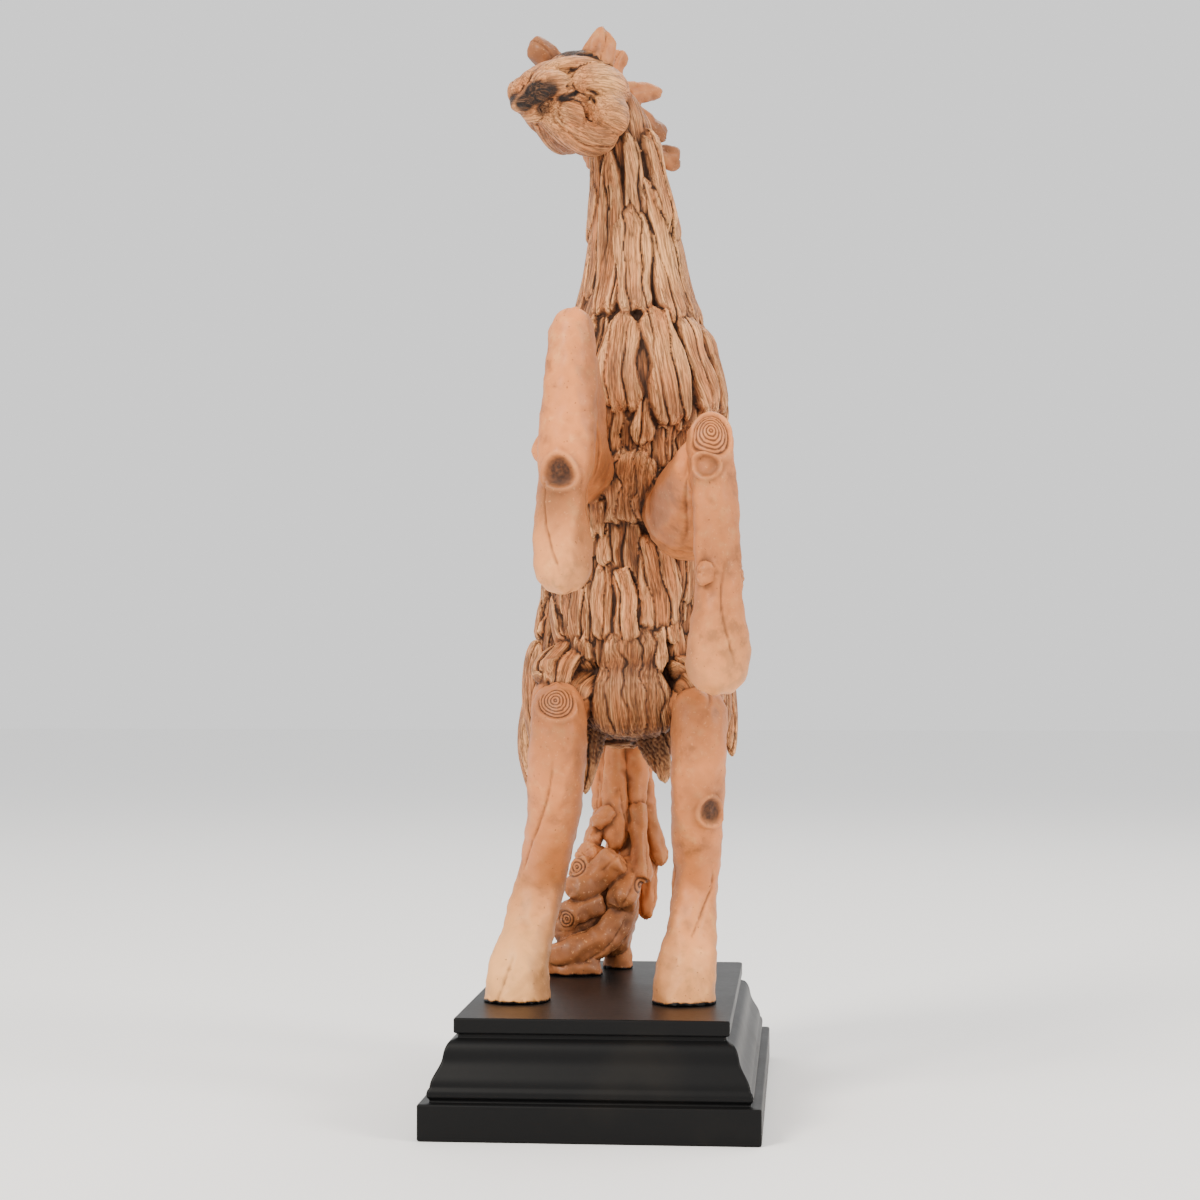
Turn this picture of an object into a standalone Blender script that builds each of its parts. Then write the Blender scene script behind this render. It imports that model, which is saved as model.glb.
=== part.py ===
# A rearing horse cast in resin to look like pieces of driftwood, on a stepped plinth.
# Metres, +Z up. The origin is the middle of the plinth's underside, and the horse faces -Y.

import math
import random

import bmesh
import bpy
from mathutils import Matrix, Vector
from mathutils.bvhtree import BVHTree

# Plinth sizes in metres.
plinth_width = 0.125
plinth_depth = 0.203
plinth_height = 0.0432
slab_height = 0.0135
slab_groove_inset = 0.0038
ogee_foot_inset = 0.0030
ogee_foot_height = 0.0038
ogee_top_inset = 0.0125
plate_inset = 0.0117
plate_height = 0.0058
groove_height = 0.0016
groove_depth = 0.0014
edge_round = 0.0008
ogee_steps = 10

# The horse is drawn in millimetres above the plinth, for a figure of drawn_height.
figure_height = 0.3745
drawn_height = 374.5
seat_gap = 0.0003
mesh_step = 0.0015
horse_faces = 9300
figure_scale = figure_height / drawn_height

# Height, middle in X and Y, half width and half depth of the trunk and neck.
trunk_stations = (
    (98, 8, 20, 18, 20),
    (104, 8, 17, 27, 31),
    (116, 8, 14, 32, 38),
    (132, 8.6, 11, 32.6, 43),
    (160, 9, 7, 33, 43),
    (190, 9, -2, 32, 41),
    (220, 10.5, -12, 31, 40),
    (242, 11.5, -18, 31.5, 37),
    (256, 11.8, -19, 29.5, 33),
    (266, 12, -19, 22.6, 29),
    (280, 11.8, -19, 18.9, 25),
    (300, 11.3, -20, 16.3, 22),
    (322, 9.2, -25, 13, 18),
    (342, 6, -32, 12.5, 16),
    (356, 2, -38, 9, 10),
)

# Rounded masses under the planks: middle, half sizes and a forward tilt in degrees.
masses = {
    "left haunch": ((-11.5, 16, 138), (16, 34, 39), 24),
    "right haunch": ((31, 16, 138), (16, 34, 39), 24),
    "rump": ((8, 46, 138), (21, 17, 27), 20),
    "left thigh": ((-18, -14, 117), (11, 33, 20), 12),
    "right thigh": ((35, -14, 117), (10, 33, 20), 12),
    "left shoulder": ((-8.5, -20, 224), (10.5, 27, 34), 20),
    "right shoulder": ((33, -20, 226), (12, 27, 34), 20),
    "withers": ((11, 8, 250), (13, 18, 20), 25),
    "breast": ((11, -42, 238), (25, 16, 24), 0),
    "belly": ((10, -14, 119), (25, 20, 19), 0),
}

# Planks that show from the front: angle and height of the top, the same of the bottom,
# width, and rise at the top and the bottom. An angle of 0 faces -Y and one of 90 faces +X.
front_planks = (
    (-38, 332, -43, 270, 8, 2.4, 3.0),
    (-17, 330, -22, 264, 10, 2.6, 3.4),
    (-2, 309, 4, 264, 14, 3.2, 4.4),
    (22, 320, 36, 261, 10.5, 3.0, 4.2),
    (44, 338, 41, 299, 10.5, 4.0, 5.2),
    (41, 302, 52, 258, 10, 2.6, 3.6),
    (13, 336, 8, 292, 8, 2.2, 2.2),
    (-7, 266, -2, 226, 14, 4.2, 4.0),
    (18, 268, 24, 222, 15, 4.6, 5.0),
    (39, 265, 50, 227, 13, 4.4, 4.0),
    (60, 262, 70, 229, 10, 4.6, 4.8),
    (-30, 264, -34, 224, 13, 4.0, 3.8),
    (-9, 231, -10, 208, 9, 2.0, 2.4),
    (9, 234, 8, 214, 6, 2.6, 4.4),
    (14, 224, 13, 209, 10, 2.4, 3.0),
    (29, 224, 32, 204, 11, 2.0, 2.6),
    (-28, 226, -24, 196, 12, 2.6, 3.4),
    (4, 214, 3, 184, 21, 3.8, 4.8),
    (33, 208, 30, 182, 12, 2.6, 3.4),
    (-16, 196, -13, 180, 8, 2.8, 4.4),
    (-9, 188, -8, 168, 7.5, 2.6, 3.2),
    (14, 183, 18, 142, 16.5, 3.4, 4.6),
    (22, 152, 24, 138, 7, 3.4, 4.6),
    (35, 188, 34, 154, 9, 2.0, 2.8),
    (-26, 190, -24, 160, 9, 2.4, 3.0),
    (-12, 171, -11, 139, 7, 3.0, 4.4),
    (-4, 169, 2, 138, 10, 3.4, 5.2),
    (-57, 158, -28, 122, 8, 3.0, 4.2),
    (-38, 160, -24, 120, 9, 1.6, 2.2),
    (-78, 168, -69, 139, 8, 4.4, 6.4),
    (-24, 142, -20, 114, 11, 3.0, 3.6),
    (2, 146, 6, 103, 29, 4.6, 6.0),
    (16, 146, 17, 128, 5.5, 5.0, 6.4),
    (26, 146, 28, 126, 8, 3.6, 4.8),
    (34, 130, 36, 114, 9, 3.4, 4.4),
    (44, 160, 44, 136, 8, 2.6, 3.6),
    (45, 134, 46, 108, 11, 3.0, 4.2),
)

# Rows of planks round the sides and back: heights of the tops and bottoms,
# the first and last angle, the plank count and the rise.
plank_rows = (
    (330, 300, 66, 294, 6, 2.4),
    (304, 264, 70, 296, 7, 2.8),
    (268, 224, 84, 304, 9, 2.8),
    (230, 188, 62, 300, 11, 2.8),
    (194, 154, 56, 308, 12, 3.2),
    (160, 122, 62, 296, 12, 3.4),
    (128, 92, 70, 290, 11, 3.2),
)

# Round logs: points and half thicknesses, in order from one end to the other.
logs = {
    "left hind leg": (
        (
            (-16, -45, 123),
            (-16.5, -49, 97),
            (-19.4, -40, 70),
            (-25.2, -26, 46),
            (-29.4, -32, 27),
            (-32, -40, 12),
            (-32.8, -43, -9),
        ),
        (10.8, 11.4, 10.6, 9.8, 9.8, 11.8, 13.2),
    ),
    "right hind leg": (
        (
            (38, -42, 121),
            (37.8, -46, 97),
            (36.8, -39, 70),
            (35.7, -27, 46),
            (34, -33, 27),
            (32.2, -40, 12),
            (31.9, -43, -9),
        ),
        (10.8, 11.2, 10.2, 9.4, 9.4, 11.6, 13.0),
    ),
    "left stifle": (((-17, -42, 113), (-17, -24, 116), (-14, 0, 120)), (11, 12, 14)),
    "right stifle": (((37, -40, 112), (36, -24, 116), (33, 0, 120)), (10, 11, 13)),
    "left hock": (((-20, -34, 66), (-25, -17, 48), (-26, -17, 38)), (7, 6.5, 5)),
    "right hock": (((36.5, -34, 66), (35.5, -17, 48), (34.8, -17, 38)), (7, 6.5, 5)),
    "left forearm": (((-10, -24, 204), (-7.5, -70, 210), (-5, -106, 240)), (13.5, 13, 10)),
    "right forearm": (((34, -24, 196), (36, -66, 187), (43, -106, 204)), (18, 17, 11)),
    "left elbow": (((-8, -56, 211), (-20.5, -70, 213)), (9, 7)),
}

# The two fore shins with their hooves, in the same form.
shins = {
    "left fore shin": (
        (
            (-4.6, -111, 258),
            (-5, -115, 238),
            (-6.2, -117, 208),
            (-7.8, -116, 190),
            (-8.2, -114, 172),
            (-7.0, -112, 154.5),
        ),
        (8.8, 9.6, 10.4, 9.2, 10.2, 10.8),
    ),
    "right fore shin": (
        (
            (43.8, -109, 220),
            (46.0, -114, 192),
            (47.6, -114, 160),
            (47.8, -112, 140),
            (46.4, -109, 118.5),
        ),
        (9.4, 8.6, 8.2, 10.6, 11.4),
    ),
}

# Tail logs, in the same form.
tail_logs = {
    "dock": (((8, 46, 152), (7, 62, 130), (4, 68, 104)), (12, 11, 9)),
    "front left": (((-2, 62, 122), (-3, 64, 95), (-3, 62, 76), (-2, 58, 50)), (5.4, 4.9, 5.0, 6.0)),
    "front left stub": (((-4, 59, 68), (-12, 55, 61.5)), (4.6, 4.0)),
    "front right": (((5, 62, 122), (6, 66, 95), (7, 62, 67)), (5.4, 5.6, 4.8)),
    "front right lower": (((7, 60, 72), (8, 55, 54), (9.5, 48, 37)), (4.2, 4.0, 5.2)),
    "right": (((8, 68, 116), (8.6, 72, 88), (11.6, 68, 66), (17.3, 62, 43.5)), (4.6, 3.4, 3.6, 4.8)),
    "thin right": (((12, 68, 66), (12, 66, 48), (10, 66, 20)), (3.4, 3.2, 3.6)),
    "left": (((-5, 68, 112), (-9.5, 69, 88), (-10, 66, 64)), (4.4, 3.4, 3.6)),
    "left lower": (((-9, 64, 68), (-13, 59, 52)), (3.8, 4.4)),
    "back": (((6, 64, 130), (4, 80, 98), (1, 82, 60), (-5, 75, 26), (-7, 66, 8)), (8, 7.5, 8, 8, 8)),
    "knuckle": (((-8, 62, 46), (-15.5, 50, 50)), (5, 5.6)),
    "ringed knuckle": (((-8, 60, 38), (-18, 44, 44.5)), (5.4, 5.8)),
    "crossing": (((0, 45, 50), (-9, 45, 41), (-21, 38, 33.5)), (7.6, 6.4, 6.6)),
    "low knuckle": (((-8, 46, 30), (-23, 36, 24)), (6, 6)),
    "filling": (((-8, 50, 24), (-28, 39, 18.5)), (7, 6.4)),
    "front knuckle": (((4, 58, 46), (3, 50, 38), (1, 39, 28)), (6, 6.4, 7)),
    "sweep": (
        (
            (6, 64, 60),
            (4, 57, 43),
            (1.5, 48, 27),
            (-6, 41, 15.5),
            (-19, 37, 9.5),
            (-32, 38, 8),
        ),
        (4.4, 5.4, 6.0, 6.2, 6.4, 6),
    ),
    "heart": (((0, 62, 46), (-5, 56, 28), (-11, 50, 8)), (9, 12.5, 13)),
    "root": (((-30, 42, 5), (-18, 37, 2.5), (-7, 41, 2.5)), (6, 6, 6)),
    "root stub": (((-10, 44, 11), (-12, 35, 3)), (4.4, 4)),
    "foot": (((0.5, 58, 26), (-1.5, 62, 12), (-2, 64, 3), (-2, 64, -9)), (5.5, 5.4, 6.6, 7.4)),
}

# Stubs of the mane, in the same form.
mane_stubs = {
    "poll": (((0, -34, 352), (3.4, -30, 364), (7, -26, 373)), (4.2, 3.6, 3.6)),
    "first": (((7, -28, 354), (13.5, -24, 357), (21.6, -18, 357.4)), (6.2, 4.4, 2.6)),
    "second": (((9, -22, 351.5), (14.5, -17, 348), (23, -10, 341)), (3.6, 3.6, 3.8)),
    "third": (((14, -14, 336.4), (20, -9, 334.8), (28.8, -4, 333.8)), (4.2, 4.4, 4.4)),
    "fourth": (((8, -22, 355), (9.5, -13, 357), (10.5, -6, 357.5)), (4, 4, 3.4)),
    "fifth": (((4, -24, 350), (2, -12, 350), (0, -3, 348)), (4, 4.4, 3.6)),
    "sixth": (((0, -22, 338), (-5, -10, 337), (-8, 0, 333)), (4.2, 4.4, 3.4)),
    "seventh": (((8, -12, 334), (9, -2, 334), (10, 8, 331)), (4.6, 4.8, 4)),
    "eighth": (((14, -6, 318), (19, 4, 317), (22, 12, 313)), (4.6, 4.8, 3.8)),
    "ninth": (((4, -8, 316), (1, 4, 316), (-1, 13, 312)), (4.6, 4.8, 4)),
    "tenth": (((12, 0, 302), (14, 11, 301), (15, 19, 296)), (4.6, 4.8, 4)),
    "eleventh": (((5, 0, 292), (2, 12, 290), (0, 20, 285)), (4.6, 4.8, 4)),
    "twelfth": (((14, 6, 284), (17, 15, 281), (18, 23, 275)), (4.8, 5, 4)),
    "last": (((8, 10, 272), (7, 20, 268), (6, 28, 261)), (4.8, 5, 4)),
}

# Growth rings and knots: place, facing direction, radius and height.
knots = {
    "left stifle": ((-15.5, -56, 116), (0.05, -1, 0.25), 8, 4.5),
    "right knee": ((44.5, -112, 207), (0.1, -0.75, 0.8), 6.5, 8),
    "right knee ring": ((44, -120, 203.5), (0.05, -1, 0.3), 4.4, 6),
    "left shin": ((-7.5, -122, 201), (0, -1, 0.2), 5.6, 8),
    "right stifle": ((37.5, -50, 119), (0.1, -0.8, 0.6), 7, 5),
    "right shank": ((39, -45, 76), (0.55, -1, 0.1), 4.4, 7),
    "right fetlock outer": ((55, -113, 161), (1, -0.4, 0.2), 3.4, 4),
    "right fetlock inner": ((42.6, -121, 162), (-0.4, -1, 0.2), 3.2, 4),
}

# The head: its middle at the poll, the turn to the horse's right and the nose's dip.
head_place = Vector((0, -38, 353))
head_turn = 30.0
head_dip = 6.0

# Head pieces as points in (forward, left, up) from the poll, with half width and half depth at each.
head_logs = {
    "skull": (
        ((-8, 0, -3), (4, 0, -2), (20, 0, -3), (34, 0, -4), (46, 0, -5), (53.5, 0, -4)),
        (10, 13, 13, 10.6, 7.6, 5.5),
        (12, 14, 14, 12, 8, 5.4),
    ),
    "forehead": (((0, 0, 8), (16, 0, 10), (31, 0, 8)), (9.5, 9.5, 7.5), (5, 5, 4.6)),
    "nose bridge": (
        ((24, 0, 8), (36, 0, 5), (45, 0, 1.4), (52.5, 0, -0.6)),
        (7, 6.5, 6, 5.5),
        (4.4, 4.4, 4.4, 4),
    ),
    "left nose": (((54, 6, -2.5), (46, 8.5, -1), (36, 9.5, 0)), (4, 4.6, 3.6), (4.5, 5.2, 4.2)),
    "right nose": (((52, -5, -3), (45, -7, -1.5), (36, -8.5, 0)), (3.6, 4.2, 3.6), (4, 4.8, 4.2)),
    "left nostril": (((48, 6, -6), (57, 5.5, -4.5)), (5, 4.4), (5, 4.6)),
    "right nostril": (((46, -4.5, -5), (54.5, -4, -2.8)), (4.6, 4.2), (5, 4.4)),
    "upper lip": (((49, -4, -7.5), (54.5, 0, -8.5), (52.5, 5.5, -9)), (4.2, 4.6, 4.4), (3.6, 3.8, 3.8)),
    "lower lip": (((44, -2, -12), (49.5, 1, -13), (48, 5, -13.2)), (3.4, 3.8, 4), (2.6, 2.8, 3)),
    "left jaw": (
        ((49, 4, -11.5), (40, 5, -14.8), (28, 6.5, -19), (16, 7, -19.5), (5, 7, -15)),
        (4, 5.4, 7.4, 8, 6.5),
        (3.4, 5, 6.6, 7, 6.8),
    ),
    "right jaw": (
        ((45, -1, -10.5), (37, -2, -13), (28, -4, -16.5), (16, -6.5, -18), (5, -7, -15)),
        (3.6, 4.8, 6.4, 7.4, 6.5),
        (3, 4.4, 6, 6.6, 6.6),
    ),
    "left cheek": (((28, 11.5, -8.5), (16, 13, -10), (4, 11, -13)), (5, 6.4, 6), (6, 8.2, 7.5)),
    "right cheek": (((28, -11, -8.5), (16, -12.5, -10), (4, -11, -13)), (5, 6.4, 6), (6, 8, 7.5)),
    "left chop": (((46, 7, -9.5), (38, 9, -12), (28, 10, -15)), (4, 5.2, 5), (5, 7, 6.5)),
    "right chop": (((45, -4.5, -8), (37, -6.5, -10), (28, -8.5, -13)), (3.4, 4.4, 5), (4.2, 5.8, 6.2)),
    "left temple": (((38, 10, 0), (20, 11.8, 1.5), (-3, 9.2, -1)), (3.6, 5, 5.4), (4.5, 7, 8)),
    "right temple": (((38, -9.5, 0), (20, -11.5, 1.5), (-3, -9, -1)), (3.6, 5, 5.4), (4.5, 7, 8)),
    "left brow": (((44, 5, 5.5), (30, 8.2, 8), (10, 10, 7)), (2.8, 3.8, 3.6), (2.2, 3, 2.8)),
    "right brow": (((42, -4, 4), (30, -7.6, 7), (10, -10, 7)), (2.6, 3.8, 3.6), (2, 3, 2.8)),
    "right ear": (((18, -7, 8), (18.5, -11, 13), (22, -18, 20.5)), (4, 4.8, 6), (4, 4.8, 6)),
    "left ear": (
        ((13.6, 6.9, 4), (12.6, 6.9, 11), (11, 7.6, 16.5), (9.6, 8.6, 24)),
        (5, 6.2, 5.8, 1.6),
        (3.8, 3.8, 3.4, 1.5),
    ),
}

# Long split flakes on the outer thighs and at the crotch, with the way each one faces.
flakes = {
    "left thigh": (
        ((-24.5, 4, 140), (-30.6, -4, 120), (-33.8, -8, 99), (-31, -10, 76)),
        (9, 10, 8, 4),
        (3, 3.6, 3.4, 2.4),
        (-1, -0.2, 0),
    ),
    "left thigh front": (
        ((-29, -14, 140), (-29, -24, 118), (-27, -28, 94)),
        (6, 7, 4),
        (3, 3.4, 2.4),
        (-1, -0.6, 0),
    ),
    "right thigh": (
        ((45, 4, 142), (47, -4, 118), (49.5, -9, 93)),
        (9, 10, 4),
        (3, 3.4, 2.6),
        (1, -0.2, 0),
    ),
    "right thigh front": (
        ((44, -16, 136), (45, -24, 116), (44, -28, 98)),
        (6, 8, 5),
        (3, 3.4, 2.6),
        (1, -0.6, 0),
    ),
    "left crotch": (
        ((-4, -12, 112), (-8, -5, 98), (-10.5, -2, 77)),
        (7, 5.6, 3),
        (3.6, 3.2, 2.4),
        (0, -1, 0),
    ),
    "right crotch": (
        ((14, -12, 112), (18.5, -5, 98), (22.5, 0, 82)),
        (8, 7, 3),
        (3.6, 3.2, 2.2),
        (0, -1, 0),
    ),
}


def drawn(point):
    """A point of the drawing, in metres above the plinth's underside."""
    x, y, z = point
    return Vector((x * figure_scale, y * figure_scale, z * figure_scale + plinth_height))


def curve_through(values, share):
    """A smooth curve through the values, read at a share of its length."""
    last = len(values) - 1
    place = min(max(share, 0.0), 1.0) * last
    first = min(int(place), last - 1)
    t = place - first
    before = values[first - 1] if first > 0 else values[0] * 2 - values[1]
    after = values[first + 2] if first + 2 <= last else values[last] * 2 - values[last - 1]
    start, end = values[first], values[first + 1]
    slope_in = (end - before) * 0.5
    slope_out = (after - start) * 0.5
    t2, t3 = t * t, t * t * t
    return (
        start * (2 * t3 - 3 * t2 + 1)
        + slope_in * (t3 - 2 * t2 + t)
        + end * (3 * t2 - 2 * t3)
        + slope_out * (t3 - t2)
    )


def heading(values, share, reach):
    """The way the curve runs at a share of its length, judged over the reach to each side."""
    after = curve_through(values, min(share + reach, 1))
    return (after - curve_through(values, max(share - reach, 0))).normalized()


def signed_power(value, power):
    return math.copysign(abs(value) ** power, value)


def join_rings(bm, rings):
    """A closed surface over rings of points, with a flat cap at each end."""
    sides = len(rings[0])
    for low, high in zip(rings, rings[1:]):
        for i in range(sides):
            j = (i + 1) % sides
            bm.faces.new((low[i], low[j], high[j], high[i]))
    bm.faces.new(rings[0][::-1])
    bm.faces.new(rings[-1])


def add_rod(bm, middles, sides_to, ups, half_widths, half_depths, sides, squareness=1.0):
    """A closed rod with one ring of points at each middle. A squareness under 1 makes it boxy."""
    rings = []
    for middle, side, up, wide, deep in zip(middles, sides_to, ups, half_widths, half_depths):
        ring = []
        for i in range(sides):
            angle = 2 * math.pi * i / sides
            across = signed_power(math.cos(angle), squareness) * wide
            out = signed_power(math.sin(angle), squareness) * deep
            ring.append(bm.verts.new(middle + side * across + up * out))
        rings.append(ring)
    join_rings(bm, rings)


def rounded_shares(rings, start_round, end_round):
    """Shares along a rod and the swelling at each, so that its ends are domes."""
    shares, swells = [], []
    for i in range(rings):
        share = 0.5 - 0.5 * math.cos(math.pi * i / (rings - 1))
        share = 0.5 * share + 0.5 * i / (rings - 1)
        swell = 1.0
        if share < start_round:
            swell = math.sqrt(max(1 - (1 - share / start_round) ** 2, 0.0))
        if share > 1 - end_round:
            swell = min(swell, math.sqrt(max(1 - (1 - (1 - share) / end_round) ** 2, 0.0)))
        shares.append(share)
        swells.append(max(swell, 0.12))
    return shares, swells


def add_log(bm, points, half_widths, half_depths=None, up=(0, -1, 0.2), sides=12, ends=(0.12, 0.12)):
    """A round or oval log through the drawing's points, with ends domed over a share of its length."""
    half_depths = half_depths or half_widths
    spine = [drawn(p) for p in points]
    rings = 4 * len(points) + 2
    shares, swells = rounded_shares(rings, *ends)
    middles = [curve_through(spine, s) for s in shares]
    sides_to, ups = [], []
    for s in shares:
        along = heading(spine, s, 0.02)
        side = along.cross(Vector(up)).normalized()
        sides_to.append(side)
        ups.append(side.cross(along).normalized())
    wide = [curve_through(half_widths, s) * w * figure_scale for s, w in zip(shares, swells)]
    deep = [curve_through(half_depths, s) * w * figure_scale for s, w in zip(shares, swells)]
    add_rod(bm, middles, sides_to, ups, wide, deep, sides)


def trunk_at(height):
    """Middle in X and Y, half width and half depth of the trunk at a height of the drawing."""
    heights = [row[0] for row in trunk_stations]
    height = min(max(height, heights[0]), heights[-1])
    above = next(i for i in range(1, len(heights)) if height <= heights[i])
    t = (height - heights[above - 1]) / (heights[above] - heights[above - 1])
    low, high = trunk_stations[above - 1], trunk_stations[above]
    return [low[i] + (high[i] - low[i]) * t for i in range(1, 5)]


def add_trunk(bm):
    """The trunk and neck, lofted through the stations."""
    rings = 34
    top, bottom = trunk_stations[-1][0], trunk_stations[0][0]
    heights = [bottom + (top - bottom) * i / (rings - 1) for i in range(rings)]
    rows = [trunk_at(h) for h in heights]
    middles = [drawn((x, y, h)) for (x, y, _, _), h in zip(rows, heights)]
    wide = [row[2] * figure_scale for row in rows]
    deep = [row[3] * figure_scale for row in rows]
    add_rod(bm, middles, [Vector((1, 0, 0))] * rings, [Vector((0, 1, 0))] * rings, wide, deep, 24, 0.92)


def add_masses(bm):
    """The haunches, shoulders, rump, withers, breast and belly."""
    for middle, half_sizes, tilt in masses.values():
        scale = Matrix.Diagonal(Vector(half_sizes) * figure_scale).to_4x4()
        turn = Matrix.Rotation(math.radians(tilt), 4, "X")
        place = Matrix.Translation(drawn(middle)) @ turn @ scale
        bmesh.ops.create_uvsphere(bm, u_segments=20, v_segments=12, radius=1, matrix=place)


def surface_point(tree, angle, height):
    """Where the body's surface lies at an angle round the trunk and a height of the drawing."""
    x, y, _, _ = trunk_at(height)
    middle = drawn((x, y, height))
    out = Vector((math.sin(math.radians(angle)), -math.cos(math.radians(angle)), 0))
    reach = 0.3 * figure_height
    hit = tree.ray_cast(middle + out * reach, -out, reach)[0]
    return hit if hit is not None else middle


def add_plank(bm, tree, top_angle, top, bottom_angle, bottom, width, top_rise, bottom_rise, rng):
    """A split plank that follows the body and stands out by the rise at its top and bottom."""
    samples = 5
    spots = []
    for i in range(samples):
        share = i / (samples - 1)
        angle = top_angle + (bottom_angle - top_angle) * share
        spots.append((angle, top + (bottom - top) * share))
    spine = [surface_point(tree, a, h) for a, h in spots]
    rings = 9
    shares, swells = rounded_shares(rings, 0.25, 0.2)
    lean = rng.uniform(-0.5, 0.5)
    taper = rng.uniform(0.62, 0.9)
    middles, sides_to, ups, wide, deep = [], [], [], [], []
    for share, swell in zip(shares, swells):
        angle = top_angle + (bottom_angle - top_angle) * share
        height = top + (bottom - top) * share
        along = heading(spine, share, 0.1)
        side = (surface_point(tree, angle + 7, height) - surface_point(tree, angle - 7, height)).normalized()
        up = along.cross(side).normalized()
        side = up.cross(along).normalized()
        rise = top_rise + (bottom_rise - top_rise) * share
        sway = side * (math.sin(share * 5 + lean * 6) * width * 0.04 * figure_scale)
        middles.append(curve_through(spine, share) + sway)
        sides_to.append(side)
        ups.append(up)
        wide.append(width * 0.5 * (taper + (1 - taper) * min(share * 1.6, 1)) * swell * figure_scale)
        deep.append(rise * (0.2 + 0.8 * swell) * figure_scale)
    add_rod(bm, middles, sides_to, ups, wide, deep, 10, 0.72)


def add_planks(bm, tree):
    """The planks of the front by their own places, and those of the sides and back in rows."""
    rng = random.Random(7)
    for plank in front_planks:
        add_plank(bm, tree, *plank, rng)
    for row, (top, bottom, first, last, count, rise) in enumerate(plank_rows):
        step = (last - first) / (count - 1)
        for i in range(count):
            angle = first + step * (i + rng.uniform(-0.12, 0.12))
            slant = rng.uniform(-5, 5)
            x, y, half_width, half_depth = trunk_at((top + bottom) / 2)
            width = math.radians(step) * (half_width + half_depth) / 2 * rng.uniform(1.0, 1.25)
            drop = rng.uniform(-5, 5) + (3 if i % 2 else -3)
            proud = rise * rng.uniform(0.9, 1.25)
            spot = (angle, top + drop, angle + slant, bottom + drop)
            add_plank(bm, tree, *spot, width, proud * 0.6, proud * 1.3, rng)


def head_matrix():
    """Turns (forward, left, up) from the poll into the drawing."""
    turn, dip = math.radians(head_turn), math.radians(head_dip)
    forward = Vector((-math.sin(turn) * math.cos(dip), -math.cos(turn) * math.cos(dip), -math.sin(dip)))
    left = Vector((0, 0, 1)).cross(forward).normalized()
    up = forward.cross(left).normalized()
    return Matrix((forward, left, up)).transposed()


def add_head(bm):
    """The head, from its own logs and lumps."""
    axes = head_matrix()
    for name, (points, half_widths, half_depths) in head_logs.items():
        placed = [head_place + axes @ Vector(p) for p in points]
        up = (0, -1, 0.2) if "ear" in name else axes @ Vector((0, 0, 1))
        add_log(bm, placed, half_widths, half_depths, up=up, ends=(0.3, 0.3))


def add_knots(bm):
    """Round ends of sawn branches and knots that stand a little proud."""
    for place, facing, radius, height in knots.values():
        turn = Vector(facing).to_track_quat("Z", "Y").to_matrix().to_4x4()
        size = Matrix.Diagonal((figure_scale, figure_scale, figure_scale, 1))
        bmesh.ops.create_cone(
            bm,
            cap_ends=True,
            segments=16,
            radius1=radius * 1.25,
            radius2=radius * 0.95,
            depth=height,
            matrix=Matrix.Translation(drawn(place)) @ turn @ size,
        )


def main_body(bm):
    """Leaves only the largest closed shell of the mesh."""
    shells, seen = [], set()
    for start in bm.verts:
        if start in seen:
            continue
        shell, waiting = {start}, [start]
        while waiting:
            for edge in waiting.pop().link_edges:
                for vert in edge.verts:
                    if vert not in shell:
                        shell.add(vert)
                        waiting.append(vert)
        seen |= shell
        shells.append(shell)
    largest = max(shells, key=len)
    bmesh.ops.delete(bm, geom=[v for v in bm.verts if v not in largest], context="VERTS")


def cut_soles(bm):
    """Cuts the hooves and the tail's foot flat, just above the plinth."""
    sole = plinth_height + seat_gap
    everything = bm.verts[:] + bm.edges[:] + bm.faces[:]
    cut = {"plane_co": (0, 0, sole), "plane_no": (0, 0, 1), "clear_inner": True}
    bmesh.ops.bisect_plane(bm, geom=everything, dist=1e-6, **cut)
    rims = [e for e in bm.edges if e.is_boundary]
    bmesh.ops.holes_fill(bm, edges=rims, sides=0)


def make_horse():
    core = bmesh.new()
    add_trunk(core)
    add_masses(core)
    tree = BVHTree.FromBMesh(core)
    add_planks(core, tree)
    for points, half_widths in logs.values():
        add_log(core, points, half_widths, sides=14, ends=(0.08, 0.04))
    for points, half_widths in shins.values():
        add_log(core, points, half_widths, sides=14, ends=(0.1, 0.13))
    for points, half_widths in [*tail_logs.values(), *mane_stubs.values()]:
        add_log(core, points, half_widths, sides=10, ends=(0.12, 0.16))
    add_head(core)
    for points, half_widths, half_depths, facing in flakes.values():
        add_log(core, points, half_widths, half_depths, up=facing, ends=(0.2, 0.35))
    add_knots(core)
    raw = bpy.data.meshes.new("horse pieces")
    core.to_mesh(raw)
    core.free()
    pieces = bpy.data.objects.new("horse pieces", raw)
    bpy.context.scene.collection.objects.link(pieces)

    fuse = pieces.modifiers.new("one casting", "REMESH")
    fuse.mode = "VOXEL"
    fuse.voxel_size = mesh_step
    bpy.context.view_layer.update()
    depsgraph = bpy.context.evaluated_depsgraph_get()
    fused = bpy.data.meshes.new_from_object(pieces.evaluated_get(depsgraph))
    share = horse_faces / sum(len(p.vertices) - 2 for p in fused.polygons)
    thin = pieces.modifiers.new("fewer faces", "DECIMATE")
    thin.ratio = min(share, 1.0)
    bpy.context.view_layer.update()
    depsgraph = bpy.context.evaluated_depsgraph_get()
    cast = bpy.data.meshes.new_from_object(pieces.evaluated_get(depsgraph))
    bpy.data.objects.remove(pieces)

    bm = bmesh.new()
    bm.from_mesh(cast)
    main_body(bm)
    cut_soles(bm)
    main_body(bm)
    bmesh.ops.triangulate(bm, faces=bm.faces)
    cast.clear_geometry()
    bm.to_mesh(cast)
    bm.free()
    cast.shade_smooth()
    horse = bpy.data.objects.new("horse", cast)
    bpy.context.scene.collection.objects.link(horse)
    return horse


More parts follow.
